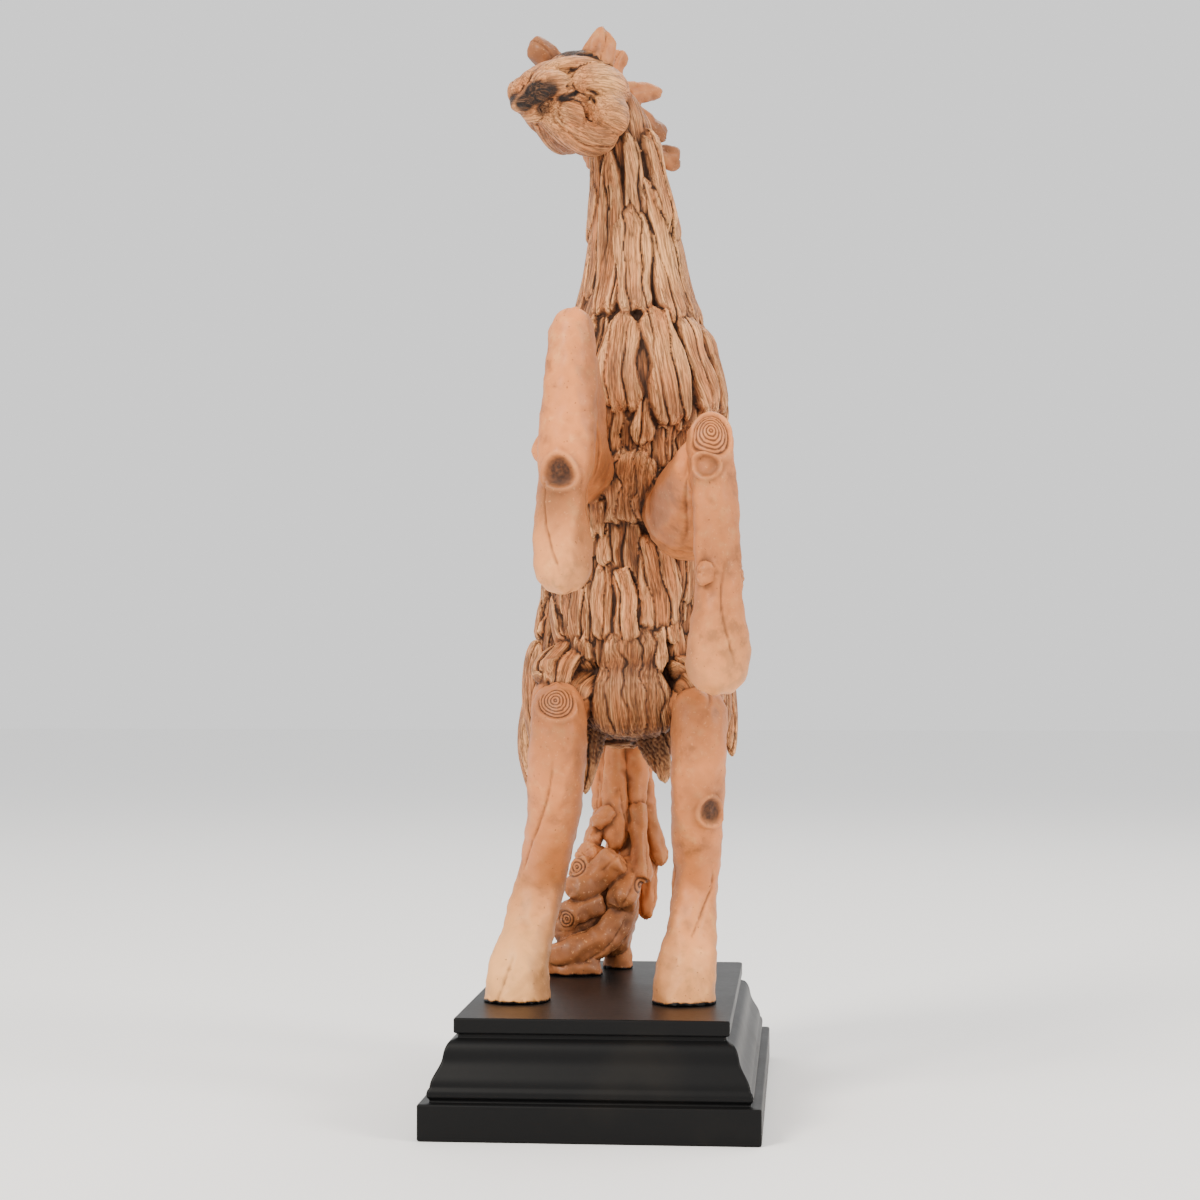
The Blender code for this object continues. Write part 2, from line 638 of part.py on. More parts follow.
def plinth_profile():
    """Inset from the slab's side and height, from the underside to the top plate's face."""
    ogee_foot = slab_height + groove_height
    ogee_start = ogee_foot + ogee_foot_height
    plate_foot = plinth_height - plate_height
    ogee_end = plate_foot - groove_height
    profile = [
        (edge_round, 0.0),
        (0.0, edge_round),
        (0.0, slab_height - edge_round),
        (edge_round, slab_height),
        (slab_groove_inset, slab_height),
        (slab_groove_inset, slab_height + groove_height * 0.5),
        (ogee_foot_inset, ogee_foot),
        (ogee_foot_inset, ogee_foot + ogee_foot_height * 0.55),
        (ogee_foot_inset + edge_round * 1.5, ogee_start),
    ]
    run = ogee_top_inset - ogee_foot_inset - edge_round * 1.5
    for i in range(1, ogee_steps + 1):
        t = i / ogee_steps
        hollow = 0.5 - 0.5 * math.cos(math.pi * min(t * 1.6, 1.0))
        crown = 1 - math.sqrt(max(1 - t**4, 0.0))
        inset = ogee_foot_inset + edge_round * 1.5 + run * (0.45 * hollow + 0.55 * crown)
        profile.append((inset, ogee_start + (ogee_end - ogee_start) * t))
    profile += [
        (plate_inset + groove_depth, ogee_end),
        (plate_inset + groove_depth, plate_foot),
        (plate_inset + edge_round, plate_foot),
        (plate_inset, plate_foot + edge_round),
        (plate_inset, plinth_height - edge_round),
        (plate_inset + edge_round, plinth_height),
    ]
    return profile


def make_plinth():
    bm = bmesh.new()
    rings = []
    for inset, height in plinth_profile():
        x, y = plinth_width / 2 - inset, plinth_depth / 2 - inset
        corners = ((-x, -y), (x, -y), (x, y), (-x, y))
        rings.append([bm.verts.new((*corner, height)) for corner in corners])
    join_rings(bm, rings)
    mesh = bpy.data.meshes.new("plinth")
    bm.to_mesh(mesh)
    bm.free()
    plinth = bpy.data.objects.new("plinth", mesh)
    bpy.context.scene.collection.objects.link(plinth)
    return plinth


def paint(obj, name, colour, roughness):
    material = bpy.data.materials.new(name)
    material.use_nodes = True
    shader = material.node_tree.nodes["Principled BSDF"]
    shader.inputs["Base Color"].default_value = (*colour, 1)
    shader.inputs["Roughness"].default_value = roughness
    obj.data.materials.append(material)


for left_over in list(bpy.data.objects):
    bpy.data.objects.remove(left_over)
paint(make_plinth(), "black satin paint", (0.012, 0.012, 0.012), 0.42)
paint(make_horse(), "driftwood painted resin", (0.52, 0.3, 0.17), 0.55)
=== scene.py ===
import math
import random

import bmesh
import bpy
import numpy as np
from mathutils import Matrix, Vector, kdtree
from mathutils.bvhtree import BVHTree


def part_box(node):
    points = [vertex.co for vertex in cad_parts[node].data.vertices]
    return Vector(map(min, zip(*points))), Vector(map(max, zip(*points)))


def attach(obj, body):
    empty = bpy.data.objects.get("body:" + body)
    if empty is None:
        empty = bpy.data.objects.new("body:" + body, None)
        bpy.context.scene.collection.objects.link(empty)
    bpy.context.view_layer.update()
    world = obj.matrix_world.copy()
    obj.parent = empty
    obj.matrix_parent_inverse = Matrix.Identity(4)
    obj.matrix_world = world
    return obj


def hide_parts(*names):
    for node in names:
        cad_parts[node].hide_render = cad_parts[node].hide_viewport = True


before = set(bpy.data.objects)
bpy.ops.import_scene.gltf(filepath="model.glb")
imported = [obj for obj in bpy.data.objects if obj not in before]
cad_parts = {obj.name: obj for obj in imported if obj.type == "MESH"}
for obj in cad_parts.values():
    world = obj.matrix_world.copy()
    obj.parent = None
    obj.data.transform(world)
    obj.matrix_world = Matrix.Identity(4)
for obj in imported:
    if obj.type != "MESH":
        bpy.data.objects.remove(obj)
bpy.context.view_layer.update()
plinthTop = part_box("plinth")[1].z
print("frame loaded, plinth top at", round(plinthTop * 1000, 1), "mm")

# The horse is drawn in millimetres above the plinth: x to the picture's right, y away from the viewer.
figure = {
    "drawnHeight": 374.5,
    "height": 0.3745,
    "seatGap": 0.0003,
    "voxel": 0.0006,
    "triangles": 194000,
    "limbSides": 44,
    "limbTone": 0.1,
    "seed": 7,
}
unit = figure["height"] / figure["drawnHeight"]

trunk = {
    "tone": -0.6,
    "sides": 64,
    "rings": 130,
    "massSides": 40,
    "massRings": 30,
    # further out than any part of the trunk, to look for its surface from
    "outside": 110,
    # height, middle in x and y, half width and half depth
    "stations": (
        (98, 8, 20, 18, 20),
        (104, 8, 17, 27, 31),
        (116, 8, 14, 32, 38),
        (132, 8.6, 11, 32.6, 43),
        (160, 9, 7, 33, 43),
        (190, 9, -2, 32, 41),
        (220, 10.5, -12, 31, 40),
        (242, 11.5, -18, 31.5, 37),
        (256, 11.8, -19, 29.5, 33),
        (266, 12, -19, 22.6, 29),
        (280, 11.8, -19, 18.9, 25),
        (300, 11.3, -20, 16.3, 22),
        (322, 9.2, -25, 13, 18),
        (342, 6, -32, 12.5, 16),
        (356, 2, -38, 9, 10),
    ),
    # middle, half sizes and a forward tilt
    "masses": (
        ((-11.5, 16, 138), (16, 34, 39), 24),
        ((31, 16, 138), (16, 34, 39), 24),
        ((8, 46, 138), (21, 17, 27), 20),
        ((-18, -14, 117), (11, 33, 20), 12),
        ((35, -14, 117), (10, 33, 20), 12),
        ((-8.5, -20, 224), (10.5, 27, 34), 20),
        ((33, -20, 226), (12, 27, 34), 20),
        ((11, 8, 250), (13, 18, 20), 25),
        ((11, -42, 238), (25, 16, 24), 0),
        ((10, -14, 119), (25, 20, 19), 0),
    ),
}

# angle and height of the top, the same of the bottom, width, rise at the top and the bottom, tone
planks = {
    "front": (
        (-38, 332, -43, 270, 8, 2.4, 3.0, 0.2),
        (-17, 330, -22, 264, 12, 2.6, 3.4, 0.0),
        (-2, 309, 4, 264, 14.5, 3.2, 4.4, 0.3),
        (22, 320, 36, 261, 12, 3.0, 4.2, 0.2),
        (44, 338, 41, 299, 10.5, 4.0, 5.2, 0.1),
        (41, 302, 52, 258, 11, 2.6, 3.6, -0.1),
        (13, 336, 8, 292, 9, 1.6, 1.8, -0.5),
        (-7, 266, -2, 226, 16, 4.2, 4.0, 0.3),
        (18, 268, 24, 222, 17, 4.6, 5.0, 0.45),
        (39, 265, 50, 227, 15, 4.4, 4.0, 0.35),
        (60, 262, 70, 229, 10, 4.6, 4.8, 0.1),
        (-30, 264, -34, 224, 13, 4.0, 3.8, 0.0),
        (-9, 231, -10, 208, 12, 2.0, 2.4, -0.25),
        (9, 234, 8, 214, 8, 2.6, 4.4, 0.1),
        (14, 224, 13, 205, 14, 2.0, 2.6, -0.2),
        (29, 224, 32, 204, 12, 2.0, 2.6, -0.3),
        (-28, 226, -24, 196, 12, 2.6, 3.4, -0.2),
        (4, 214, 3, 184, 23, 3.4, 4.8, 0.1),
        (33, 208, 30, 182, 12, 2.6, 3.4, -0.2),
        (-16, 196, -13, 180, 9, 2.8, 4.4, -0.1),
        (-9, 188, -8, 168, 9, 2.6, 3.2, 0.0),
        (14, 183, 18, 142, 17.5, 3.4, 4.6, 0.2),
        (22, 152, 24, 138, 7, 3.4, 4.6, 0.3),
        (35, 188, 34, 154, 11, 2.0, 2.8, -0.1),
        (-26, 190, -24, 160, 9, 2.4, 3.0, -0.2),
        (-12, 171, -11, 139, 9, 3.0, 4.4, 0.1),
        (-2, 169, 3, 138, 11, 3.4, 5.2, 0.3),
        (-57, 158, -28, 122, 10, 3.0, 4.2, 0.3),
        (-38, 160, -24, 120, 10, 1.6, 2.2, -0.1),
        (-78, 168, -69, 139, 8, 4.4, 6.4, 0.0),
        (-24, 142, -20, 114, 12, 3.0, 3.6, -0.2),
        (2, 146, 6, 103, 30, 4.6, 6.0, -0.45),
        (16, 146, 17, 128, 5.5, 5.0, 6.4, -0.2),
        (26, 146, 28, 126, 9, 3.6, 4.8, 0.1),
        (34, 130, 36, 114, 9, 3.4, 4.4, 0.0),
        (44, 160, 44, 136, 9, 2.6, 3.6, 0.0),
        (45, 134, 46, 108, 11, 3.0, 4.2, 0.1),
        # a thin under-layer that closes the gaps between the planks that stand proud
        (-22, 264, -20, 222, 14, 1.6, 1.8, -0.4),
        (5, 262, 6, 220, 12, 1.6, 1.8, -0.5),
        (29, 262, 34, 220, 12, 1.6, 1.8, -0.4),
        (51, 262, 56, 222, 12, 1.6, 1.8, -0.3),
        (0, 240, 2, 200, 18, 1.2, 1.6, -0.4),
        (22, 232, 22, 196, 18, 1.2, 1.6, -0.4),
        (-20, 206, -16, 170, 14, 1.4, 1.6, -0.4),
        (20, 206, 22, 176, 14, 1.4, 1.6, -0.3),
        (-2, 190, 2, 158, 14, 1.4, 1.8, -0.3),
        (28, 182, 30, 140, 14, 1.4, 1.8, -0.3),
        (-18, 176, -16, 138, 12, 1.4, 1.8, -0.3),
        (-32, 176, -30, 140, 14, 1.4, 1.8, -0.3),
        (38, 174, 40, 132, 14, 1.4, 1.8, -0.2),
        (-8, 152, -8, 128, 14, 1.4, 1.8, -0.4),
        (-44, 186, -44, 150, 14, 1.4, 1.8, -0.3),
        (46, 206, 46, 166, 14, 1.4, 1.8, -0.2),
    ),
    # tops, bottoms, first and last angle, count and rise of the rows round the sides and back
    "rows": (
        (330, 300, 66, 294, 6, 2.4),
        (304, 264, 70, 296, 7, 2.8),
        (268, 224, 84, 304, 9, 2.8),
        (230, 188, 62, 300, 11, 2.8),
        (194, 154, 56, 308, 12, 3.2),
        (160, 122, 62, 296, 12, 3.4),
        (128, 92, 70, 290, 11, 3.2),
    ),
    # rise at the top and the bottom and tone of the planks that lie under the rows' gaps
    "underLayer": (1.0, 1.4, -0.4),
    # a wider plank is a leaf of wood, with a finer, wavy grain
    "leafWidth": 20,
    "sides": 22,
    "rings": 22,
    # the splits and the finer comb of lines along each plank, and how far its strips differ in height
    "splitRate": 0.45,
    "splitDepth": 0.95,
    "combRate": 2.1,
    "combDepth": 0.17,
    "ledge": 0.3,
}

# points and half thicknesses from one end to the other
limbs = {
    "leftHind": (
        (
            (-16, -45, 123), (-16.5, -49, 97), (-19.4, -40, 70), (-25.2, -26, 46),
            (-29.4, -32, 27), (-32, -40, 12), (-32.8, -43, -9),
        ),
        (10.8, 11.4, 10.6, 9.8, 9.8, 11.8, 13.2),
    ),
    "rightHind": (
        (
            (38, -42, 121), (37.8, -46, 97), (36.8, -39, 70), (35.7, -27, 46),
            (34, -33, 27), (32.2, -40, 12), (31.9, -43, -9),
        ),
        (10.8, 11.2, 10.2, 9.4, 9.4, 11.6, 13.0),
    ),
    "leftStifle": (((-17, -42, 113), (-17, -24, 116), (-14, 0, 120)), (11, 12, 14)),
    "rightStifle": (((37, -40, 112), (36, -24, 116), (33, 0, 120)), (10, 11, 13)),
    "leftHock": (((-20, -34, 66), (-25, -17, 48), (-26, -17, 38)), (7, 6.5, 5)),
    "rightHock": (((36.5, -34, 66), (35.5, -17, 48), (34.8, -17, 38)), (7, 6.5, 5)),
    "leftForearm": (((-10, -24, 204), (-7.5, -70, 210), (-5, -106, 240)), (13.5, 13, 10)),
    "rightForearm": (((34, -24, 196), (36, -66, 187), (43, -106, 204)), (18, 17, 11)),
    "leftElbow": (((-8, -56, 211), (-20.5, -70, 213)), (9, 7)),
}

shins = {
    "left": (
        (
            (-4.6, -111, 258), (-5, -115, 238), (-6.2, -117, 208),
            (-7.8, -116, 190), (-8.2, -114, 172), (-7.0, -112, 154.5),
        ),
        (8.8, 9.6, 10.4, 9.2, 10.2, 10.8),
    ),
    "right": (
        ((43.8, -109, 220), (46.0, -114, 192), (47.6, -114, 160), (47.8, -112, 140), (46.4, -109, 118.5)),
        (9.4, 8.6, 8.2, 10.6, 11.4),
    ),
    "rightFetlockOuter": (((47, -112, 161), (52, -113, 161), (57, -114, 160.5)), (5.5, 4.6, 3.6)),
    "rightFetlockInner": (((47, -113, 161.5), (44, -119, 162), (42, -123.5, 162)), (5.5, 4.4, 3.4)),
}

# where a forearm runs into its shin, to be blended
shinJoints = (
    ((38, -104, 160), (38.5, -108, 214)),
    ((4, -103, 186), (4.5, -106, 244)),
)

tail = {
    "dock": (((8, 46, 152), (7, 62, 130), (4, 68, 104)), (12, 11, 9)),
    "frontLeft": (((-2, 62, 122), (-3, 64, 95), (-3, 62, 76), (-2, 58, 50)), (5.4, 4.9, 5.0, 6.0)),
    "frontLeftStub": (((-4, 59, 68), (-12, 55, 61.5)), (4.6, 4.0)),
    "frontRight": (((5, 62, 122), (6, 66, 95), (7, 62, 67)), (5.4, 5.6, 4.8)),
    "frontRightLower": (((7, 60, 72), (8, 55, 54), (9.5, 48, 37)), (4.2, 4.0, 5.2)),
    "right": (((8, 68, 116), (8.6, 72, 88), (11.6, 68, 66), (17.3, 62, 43.5)), (4.6, 3.4, 3.6, 4.8)),
    "thinRight": (((12, 68, 66), (12, 66, 48), (10, 66, 20)), (3.4, 3.2, 3.6)),
    "left": (((-5, 68, 112), (-9.5, 69, 88), (-10, 66, 64)), (4.4, 3.4, 3.6)),
    "leftLower": (((-9, 64, 68), (-13, 59, 52)), (3.8, 4.4)),
    "back": (((6, 64, 130), (4, 80, 98), (1, 82, 60), (-5, 75, 26), (-7, 66, 8)), (8, 7.5, 8, 8, 8)),
    "knuckle": (((-8, 62, 46), (-15.5, 50, 50)), (5, 5.6)),
    "ringedKnuckle": (((-8, 60, 38), (-18, 44, 44.5)), (5.4, 5.8)),
    "crossing": (((0, 45, 50), (-9, 45, 41), (-21, 38, 33.5)), (7.6, 6.4, 6.6)),
    "lowKnuckle": (((-8, 46, 30), (-23, 36, 24)), (6, 6)),
    "filling": (((-8, 50, 24), (-28, 39, 18.5)), (7, 6.4)),
    "frontKnuckle": (((4, 58, 46), (3, 50, 38), (1, 39, 28)), (6, 6.4, 7)),
    "sweep": (
        ((6, 64, 60), (4, 57, 43), (1.5, 48, 27), (-6, 41, 15.5), (-19, 37, 9.5), (-32, 38, 8)),
        (4.4, 5.4, 6.0, 6.2, 6.4, 6),
    ),
    "heart": (((0, 62, 46), (-5, 56, 28), (-11, 50, 8)), (9, 12.5, 13)),
    "root": (((-30, 42, 5), (-18, 37, 2.5), (-7, 41, 2.5)), (6, 6, 6)),
    "rootStub": (((-10, 44, 11), (-12, 35, 3)), (4.4, 4)),
    "foot": (((0.5, 58, 26), (-1.5, 62, 12), (-2, 64, 3), (-2, 64, -9)), (5.5, 5.4, 6.6, 7.4)),
}

mane = {
    "poll": (((0, -34, 352), (3.4, -30, 364), (7, -26, 373)), (4.2, 3.6, 3.6)),
    "first": (((7, -28, 354), (13.5, -24, 357), (21.6, -18, 357.4)), (6.2, 4.4, 2.6)),
    "second": (((9, -22, 351.5), (14.5, -17, 348), (23, -10, 341)), (3.6, 3.6, 3.8)),
    "third": (((14, -14, 336.4), (20, -9, 334.8), (28.8, -4, 333.8)), (4.2, 4.4, 4.4)),
    "fourth": (((8, -22, 355), (9.5, -13, 357), (10.5, -6, 357.5)), (4, 4, 3.4)),
    "fifth": (((4, -24, 350), (2, -12, 350), (0, -3, 348)), (4, 4.4, 3.6)),
    "sixth": (((0, -22, 338), (-5, -10, 337), (-8, 0, 333)), (4.2, 4.4, 3.4)),
    "seventh": (((8, -12, 334), (9, -2, 334), (10, 8, 331)), (4.6, 4.8, 4)),
    "eighth": (((14, -6, 318), (19, 4, 317), (22, 12, 313)), (4.6, 4.8, 3.8)),
    "ninth": (((4, -8, 316), (1, 4, 316), (-1, 13, 312)), (4.6, 4.8, 4)),
    "tenth": (((12, 0, 302), (14, 11, 301), (15, 19, 296)), (4.6, 4.8, 4)),
    "eleventh": (((5, 0, 292), (2, 12, 290), (0, 20, 285)), (4.6, 4.8, 4)),
    "twelfth": (((14, 6, 284), (17, 15, 281), (18, 23, 275)), (4.8, 5, 4)),
    "last": (((8, 10, 272), (7, 20, 268), (6, 28, 261)), (4.8, 5, 4)),
}

# points run forward, left and up from the poll; half widths, half depths
head = {
    "place": Vector((0, -38, 353)),
    "turn": 30.0,
    "dip": 6.0,
    "logs": {
        "skull": (
            ((-8, 0, -3), (4, 0, -2), (20, 0, -3), (34, 0, -4), (46, 0, -5), (53.5, 0, -4)),
            (10, 13, 13, 10.6, 7.6, 5.5),
            (12, 14, 14, 12, 8, 5.4),
        ),
        "forehead": (((0, 0, 8), (16, 0, 10), (31, 0, 8)), (9.5, 9.5, 7.5), (5, 5, 4.6)),
        "noseBridge": (
            ((24, 0, 8), (36, 0, 5), (45, 0, 1.4), (52.5, 0, -0.6)),
            (7, 6.5, 6, 5.5),
            (4.4, 4.4, 4.4, 4),
        ),
        "leftNose": (((54, 6, -2.5), (46, 8.5, -1), (36, 9.5, 0)), (4, 4.6, 3.6), (4.5, 5.2, 4.2)),
        "rightNose": (((52, -5, -3), (45, -7, -1.5), (36, -8.5, 0)), (3.6, 4.2, 3.6), (4, 4.8, 4.2)),
        "leftNostril": (((48, 6, -6), (57, 5.5, -4.5)), (5, 4.4), (5, 4.6)),
        "rightNostril": (((46, -4.5, -5), (54.5, -4, -2.8)), (4.6, 4.2), (5, 4.4)),
        "upperLip": (((49, -4, -7.5), (54.5, 0, -8.5), (52.5, 5.5, -9)), (4.2, 4.6, 4.4), (3.6, 3.8, 3.8)),
        "lowerLip": (((44, -2, -12), (49.5, 1, -13), (48, 5, -13.2)), (3.4, 3.8, 4), (2.6, 2.8, 3)),
        "leftJaw": (
            ((49, 4, -11.5), (40, 5, -14.8), (28, 6.5, -19), (16, 7, -19.5), (5, 7, -15)),
            (4, 5.4, 7.4, 8, 6.5),
            (3.4, 5, 6.6, 7, 6.8),
        ),
        "rightJaw": (
            ((45, -1, -10.5), (37, -2, -13), (28, -4, -16.5), (16, -6.5, -18), (5, -7, -15)),
            (3.6, 4.8, 6.4, 7.4, 6.5),
            (3, 4.4, 6, 6.6, 6.6),
        ),
        "leftCheek": (((28, 11.5, -8.5), (16, 13, -10), (4, 11, -13)), (5, 6.4, 6), (6, 8.2, 7.5)),
        "rightCheek": (((28, -11, -8.5), (16, -12.5, -10), (4, -11, -13)), (5, 6.4, 6), (6, 8, 7.5)),
        "leftChop": (((46, 6, -9.5), (38, 7.4, -12), (28, 9, -14)), (4, 4.8, 5.4), (5, 6.6, 7.5)),
        "rightChop": (((45, -4.5, -8), (37, -6.5, -10), (28, -8.5, -13)), (3.4, 4.4, 5), (4.2, 5.8, 6.2)),
        "leftTemple": (((38, 10, 0), (20, 11.8, 1.5), (-3, 9.2, -1)), (3.6, 5, 5.4), (4.5, 7, 8)),
        "rightTemple": (((38, -9.5, 0), (20, -11.5, 1.5), (-3, -9, -1)), (3.6, 5, 5.4), (4.5, 7, 8)),
        "leftBrow": (((44, 5, 5.5), (30, 8.2, 8), (10, 10, 7)), (2.8, 3.8, 3.6), (2.2, 3, 2.8)),
        "rightBrow": (((42, -4, 4), (30, -7.6, 7), (10, -10, 7)), (2.6, 3.8, 3.6), (2, 3, 2.8)),
        "rightEar": (((18, -7, 8), (18.5, -11, 13), (22, -18, 20.5)), (4, 4.8, 6), (4, 4.8, 6)),
        "leftEar": (
            ((13.6, 6.9, 4), (12.6, 6.9, 11), (11, 7.6, 16.5), (9.6, 8.6, 24)),
            (5, 6.2, 6.2, 3.6),
            (3.8, 3.8, 3.4, 2.2),
        ),
    },
    # the mouth's split, from its corner to the lips, the folds of the face, then the sooty patches
    "mouth": ((34, 11.5, -4.4), (42, 10.5, -6.6), (50, 9, -9.2), (58, 5, -13.6), (58, -2, -12.6)),
    "folds": (
        ((30, 14, -3.4), (20, 15, -4.6), (10, 14, -5), (2, 12, -7)),
        ((27, 14, -6), (25, 14.5, -11), (19, 14, -16.5), (9, 12.5, -19)),
        ((38, 10, 4.4), (26, 11.5, 6), (12, 12, 6.6), (2, 11, 6)),
        ((57, 7, -0.4), (48, 10.5, -1.6), (39, 12, -2.6)),
        ((30, -14, -4), (20, -15, -5), (10, -14, -6)),
        ((38, -9, 4), (26, -11, 6), (12, -12, 6.6)),
    ),
    "soot": (
        ((56, 8, -5.5), 6.5, 1.0),
        ((50, 9.5, -5), 5.5, 0.9),
        ((57, 7, 0.5), 3.5, 1.0),
        ((58, 4, -9), 5, 0.9),
        ((50, 8, -11), 4.5, 0.9),
        ((57, -3, -6), 5, 0.7),
        ((23, 3, 13), 7, 1.0),
        ((18, 8.5, 10), 4.5, 0.9),
        ((30, 5, 10.5), 4, 0.7),
    ),
}

# long split flakes on the outer thighs and at the crotch: points, half widths, half depths, facing
flakes = {
    "leftThigh": (
        ((-24.5, 4, 140), (-30.6, -4, 120), (-33.8, -8, 99), (-31, -10, 76)),
        (9, 10, 8, 4),
        (3, 3.6, 3.4, 2.4),
        (-1, -0.2, 0),
    ),
    "leftThighFront": (
        ((-29, -14, 140), (-29, -24, 118), (-27, -28, 94)),
        (6, 7, 4),
        (3, 3.4, 2.4),
        (-1, -0.6, 0),
    ),
    "rightThigh": (((45, 4, 142), (47, -4, 118), (49.5, -9, 93)), (9, 10, 4), (3, 3.4, 2.6), (1, -0.2, 0)),
    "rightThighFront": (
        ((44, -16, 136), (45, -24, 116), (44, -28, 98)),
        (6, 8, 5),
        (3, 3.4, 2.6),
        (1, -0.6, 0),
    ),
    "leftCrotch": (((-4, -12, 112), (-8, -5, 98), (-10.5, -2, 77)), (7, 5.6, 3), (3.6, 3.2, 2.4), (0, -1, 0)),
    "rightCrotch": (((14, -12, 112), (18.5, -5, 98), (22.5, 0, 82)), (8, 7, 3), (3.6, 3.2, 2.2), (0, -1, 0)),
}

# growth rings, hollow knots and dents: place, facing, radius, rings, depth of the bowl, rim height
knots = {
    "leftStifle": ((-16.6, -60, 116.7), (-0.05, -1, 0.18), 7.4, 6, 0.0, 0.9),
    "rightKneeCut": ((45, -117, 209.5), (0.1, -0.62, 0.78), 7.0, 6, 0.3, 0.9),
    "rightKneeEye": ((44, -123, 200.2), (0.05, -1, 0.1), 4.3, 0, 0.95, 1.2),
    "leftShin": ((-8.4, -126, 197.8), (0, -1, 0.1), 6.0, 0, 2.6, 1.0),
    "rightShank": ((42.2, -48, 73.5), (0.4, -1, 0.1), 5.2, 0, 1.7, 1.2),
    "tailRing": ((-18.2, 42, 45), (-0.1, -1, 0.1), 4.6, 3, 0.4, 0.5),
    "tailLowRing": ((-21.5, 32, 24), (-0.1, -1, 0.1), 4.0, 3, 0.3, 0.4),
    "tailEnd": ((9.5, 45, 37), (0.2, -1, -0.1), 4.0, 2, 0.3, 0.3),
}


def drawn(point):
    return Vector((point[0] * unit, point[1] * unit, point[2] * unit + plinthTop))


def curveThrough(values, share):
    last = len(values) - 1
    place = min(max(share, 0.0), 1.0) * last
    first = min(int(place), last - 1)
    t = place - first
    before = values[first - 1] if first > 0 else values[0] * 2 - values[1]
    after = values[first + 2] if first + 2 <= last else values[last] * 2 - values[last - 1]
    start, end = values[first], values[first + 1]
    slopeIn, slopeOut = (end - before) * 0.5, (after - start) * 0.5
    t2, t3 = t * t, t * t * t
    fromEnds = start * (2 * t3 - 3 * t2 + 1) + end * (3 * t2 - 2 * t3)
    return fromEnds + slopeIn * (t3 - 2 * t2 + t) + slopeOut * (t3 - t2)


def heading(values, share, reach):
    after = curveThrough(values, min(share + reach, 1))
    return (after - curveThrough(values, max(share - reach, 0))).normalized()


def signedPower(value, power):
    return math.copysign(abs(value) ** power, value)


def smoothStep(low, high, value):
    t = min(max((value - low) / (high - low), 0.0), 1.0)
    return t * t * (3 - 2 * t)


class WoodPile:
    # every log and plank goes into one mesh, and each point keeps its place along and across its own piece
    def __init__(self):
        self.joined = bmesh.new()
        self.co, self.values, self.triangles, self.pieceOf = [], [], [], []
        self.kinds, self.tones = [], []

    def add(self, kind, tone, sides, rings, shape):
        # a sphere drawn out along the piece: shape turns a share of the length and an angle into a point
        bm = bmesh.new()
        bmesh.ops.create_uvsphere(bm, u_segments=sides, v_segments=rings, radius=1)
        bmesh.ops.triangulate(bm, faces=bm.faces)
        bm.verts.index_update()
        first = len(self.co)
        for vert in bm.verts:
            share = math.acos(min(max(vert.co.z, -1.0), 1.0)) / math.pi
            vert.co, *place = shape(share, math.atan2(vert.co.y, vert.co.x))
            self.co.append(tuple(vert.co))
            self.values.append(place)
        self.triangles += [[first + v.index for v in f.verts] for f in bm.faces]
        self.pieceOf += [len(self.kinds)] * len(bm.faces)
        self.kinds.append(kind)
        self.tones.append(tone)
        mesh = bpy.data.meshes.new("piece")
        bm.to_mesh(mesh)
        bm.free()
        self.joined.from_mesh(mesh)
        bpy.data.meshes.remove(mesh)


def roundedShare(share, startRound, endRound):
    # the sphere's rings are evenly turned, so its poles make the domed ends
    swell = 1.0
    if share < startRound:
        swell = math.sqrt(max(1 - (1 - share / startRound) ** 2, 0.0))
    if share > 1 - endRound:
        swell = min(swell, math.sqrt(max(1 - (1 - (1 - share) / endRound) ** 2, 0.0)))
    return swell


def addLog(pile, kind, log, tone, rng, ends, sides=28):
    # a log is its points and half widths, then, where it isn't round, its half depths and the way it faces
    points, halfWidths, *more = log
    halfDepths, up = more if len(more) == 2 else (halfWidths, (0, -1, 0.2))
    spine = [drawn(p) for p in points]
    length = sum((b - a).length for a, b in zip(spine, spine[1:]))
    rings = max(16, int(length / unit / 1.8))
    phase = rng.uniform(0, 6.28)
    frames = {}

    def frameAt(share):
        if share not in frames:
            along = heading(spine, share, 0.02)
            side = along.cross(Vector(up)).normalized()
            frames[share] = (curveThrough(spine, share), side, side.cross(along).normalized())
        return frames[share]

    def shape(share, angle):
        middle, side, out = frameAt(round(share, 5))
        swell = max(roundedShare(share, *ends), 0.02)
        wide = curveThrough(halfWidths, share) * swell
        deep = curveThrough(halfDepths, share) * swell
        lumps = 1 + 0.02 * math.sin(3 * angle + phase + share * 7)
        lumps += 0.015 * math.sin(5 * angle - phase * 2 + share * 13)
        x, y = math.cos(angle) * wide * lumps, math.sin(angle) * deep * lumps
        return middle + (side * x + out * y) * unit, x, y, share * length / unit, 1.0

    pile.add(kind, tone, sides, rings, shape)


def trunkAt(height):
    rows = trunk["stations"]
    height = min(max(height, rows[0][0]), rows[-1][0])
    above = next(i for i in range(1, len(rows)) if height <= rows[i][0])
    t = (height - rows[above - 1][0]) / (rows[above][0] - rows[above - 1][0])
    return [a + (b - a) * t for a, b in zip(rows[above - 1][1:], rows[above][1:])]


def aroundTrunk(x, y, height):
    # how far round the trunk a point lies, measured from the front
    middleX, middleY, wide, deep = trunkAt(height)
    return math.atan2(x - middleX, middleY - y) * (wide + deep) / 2


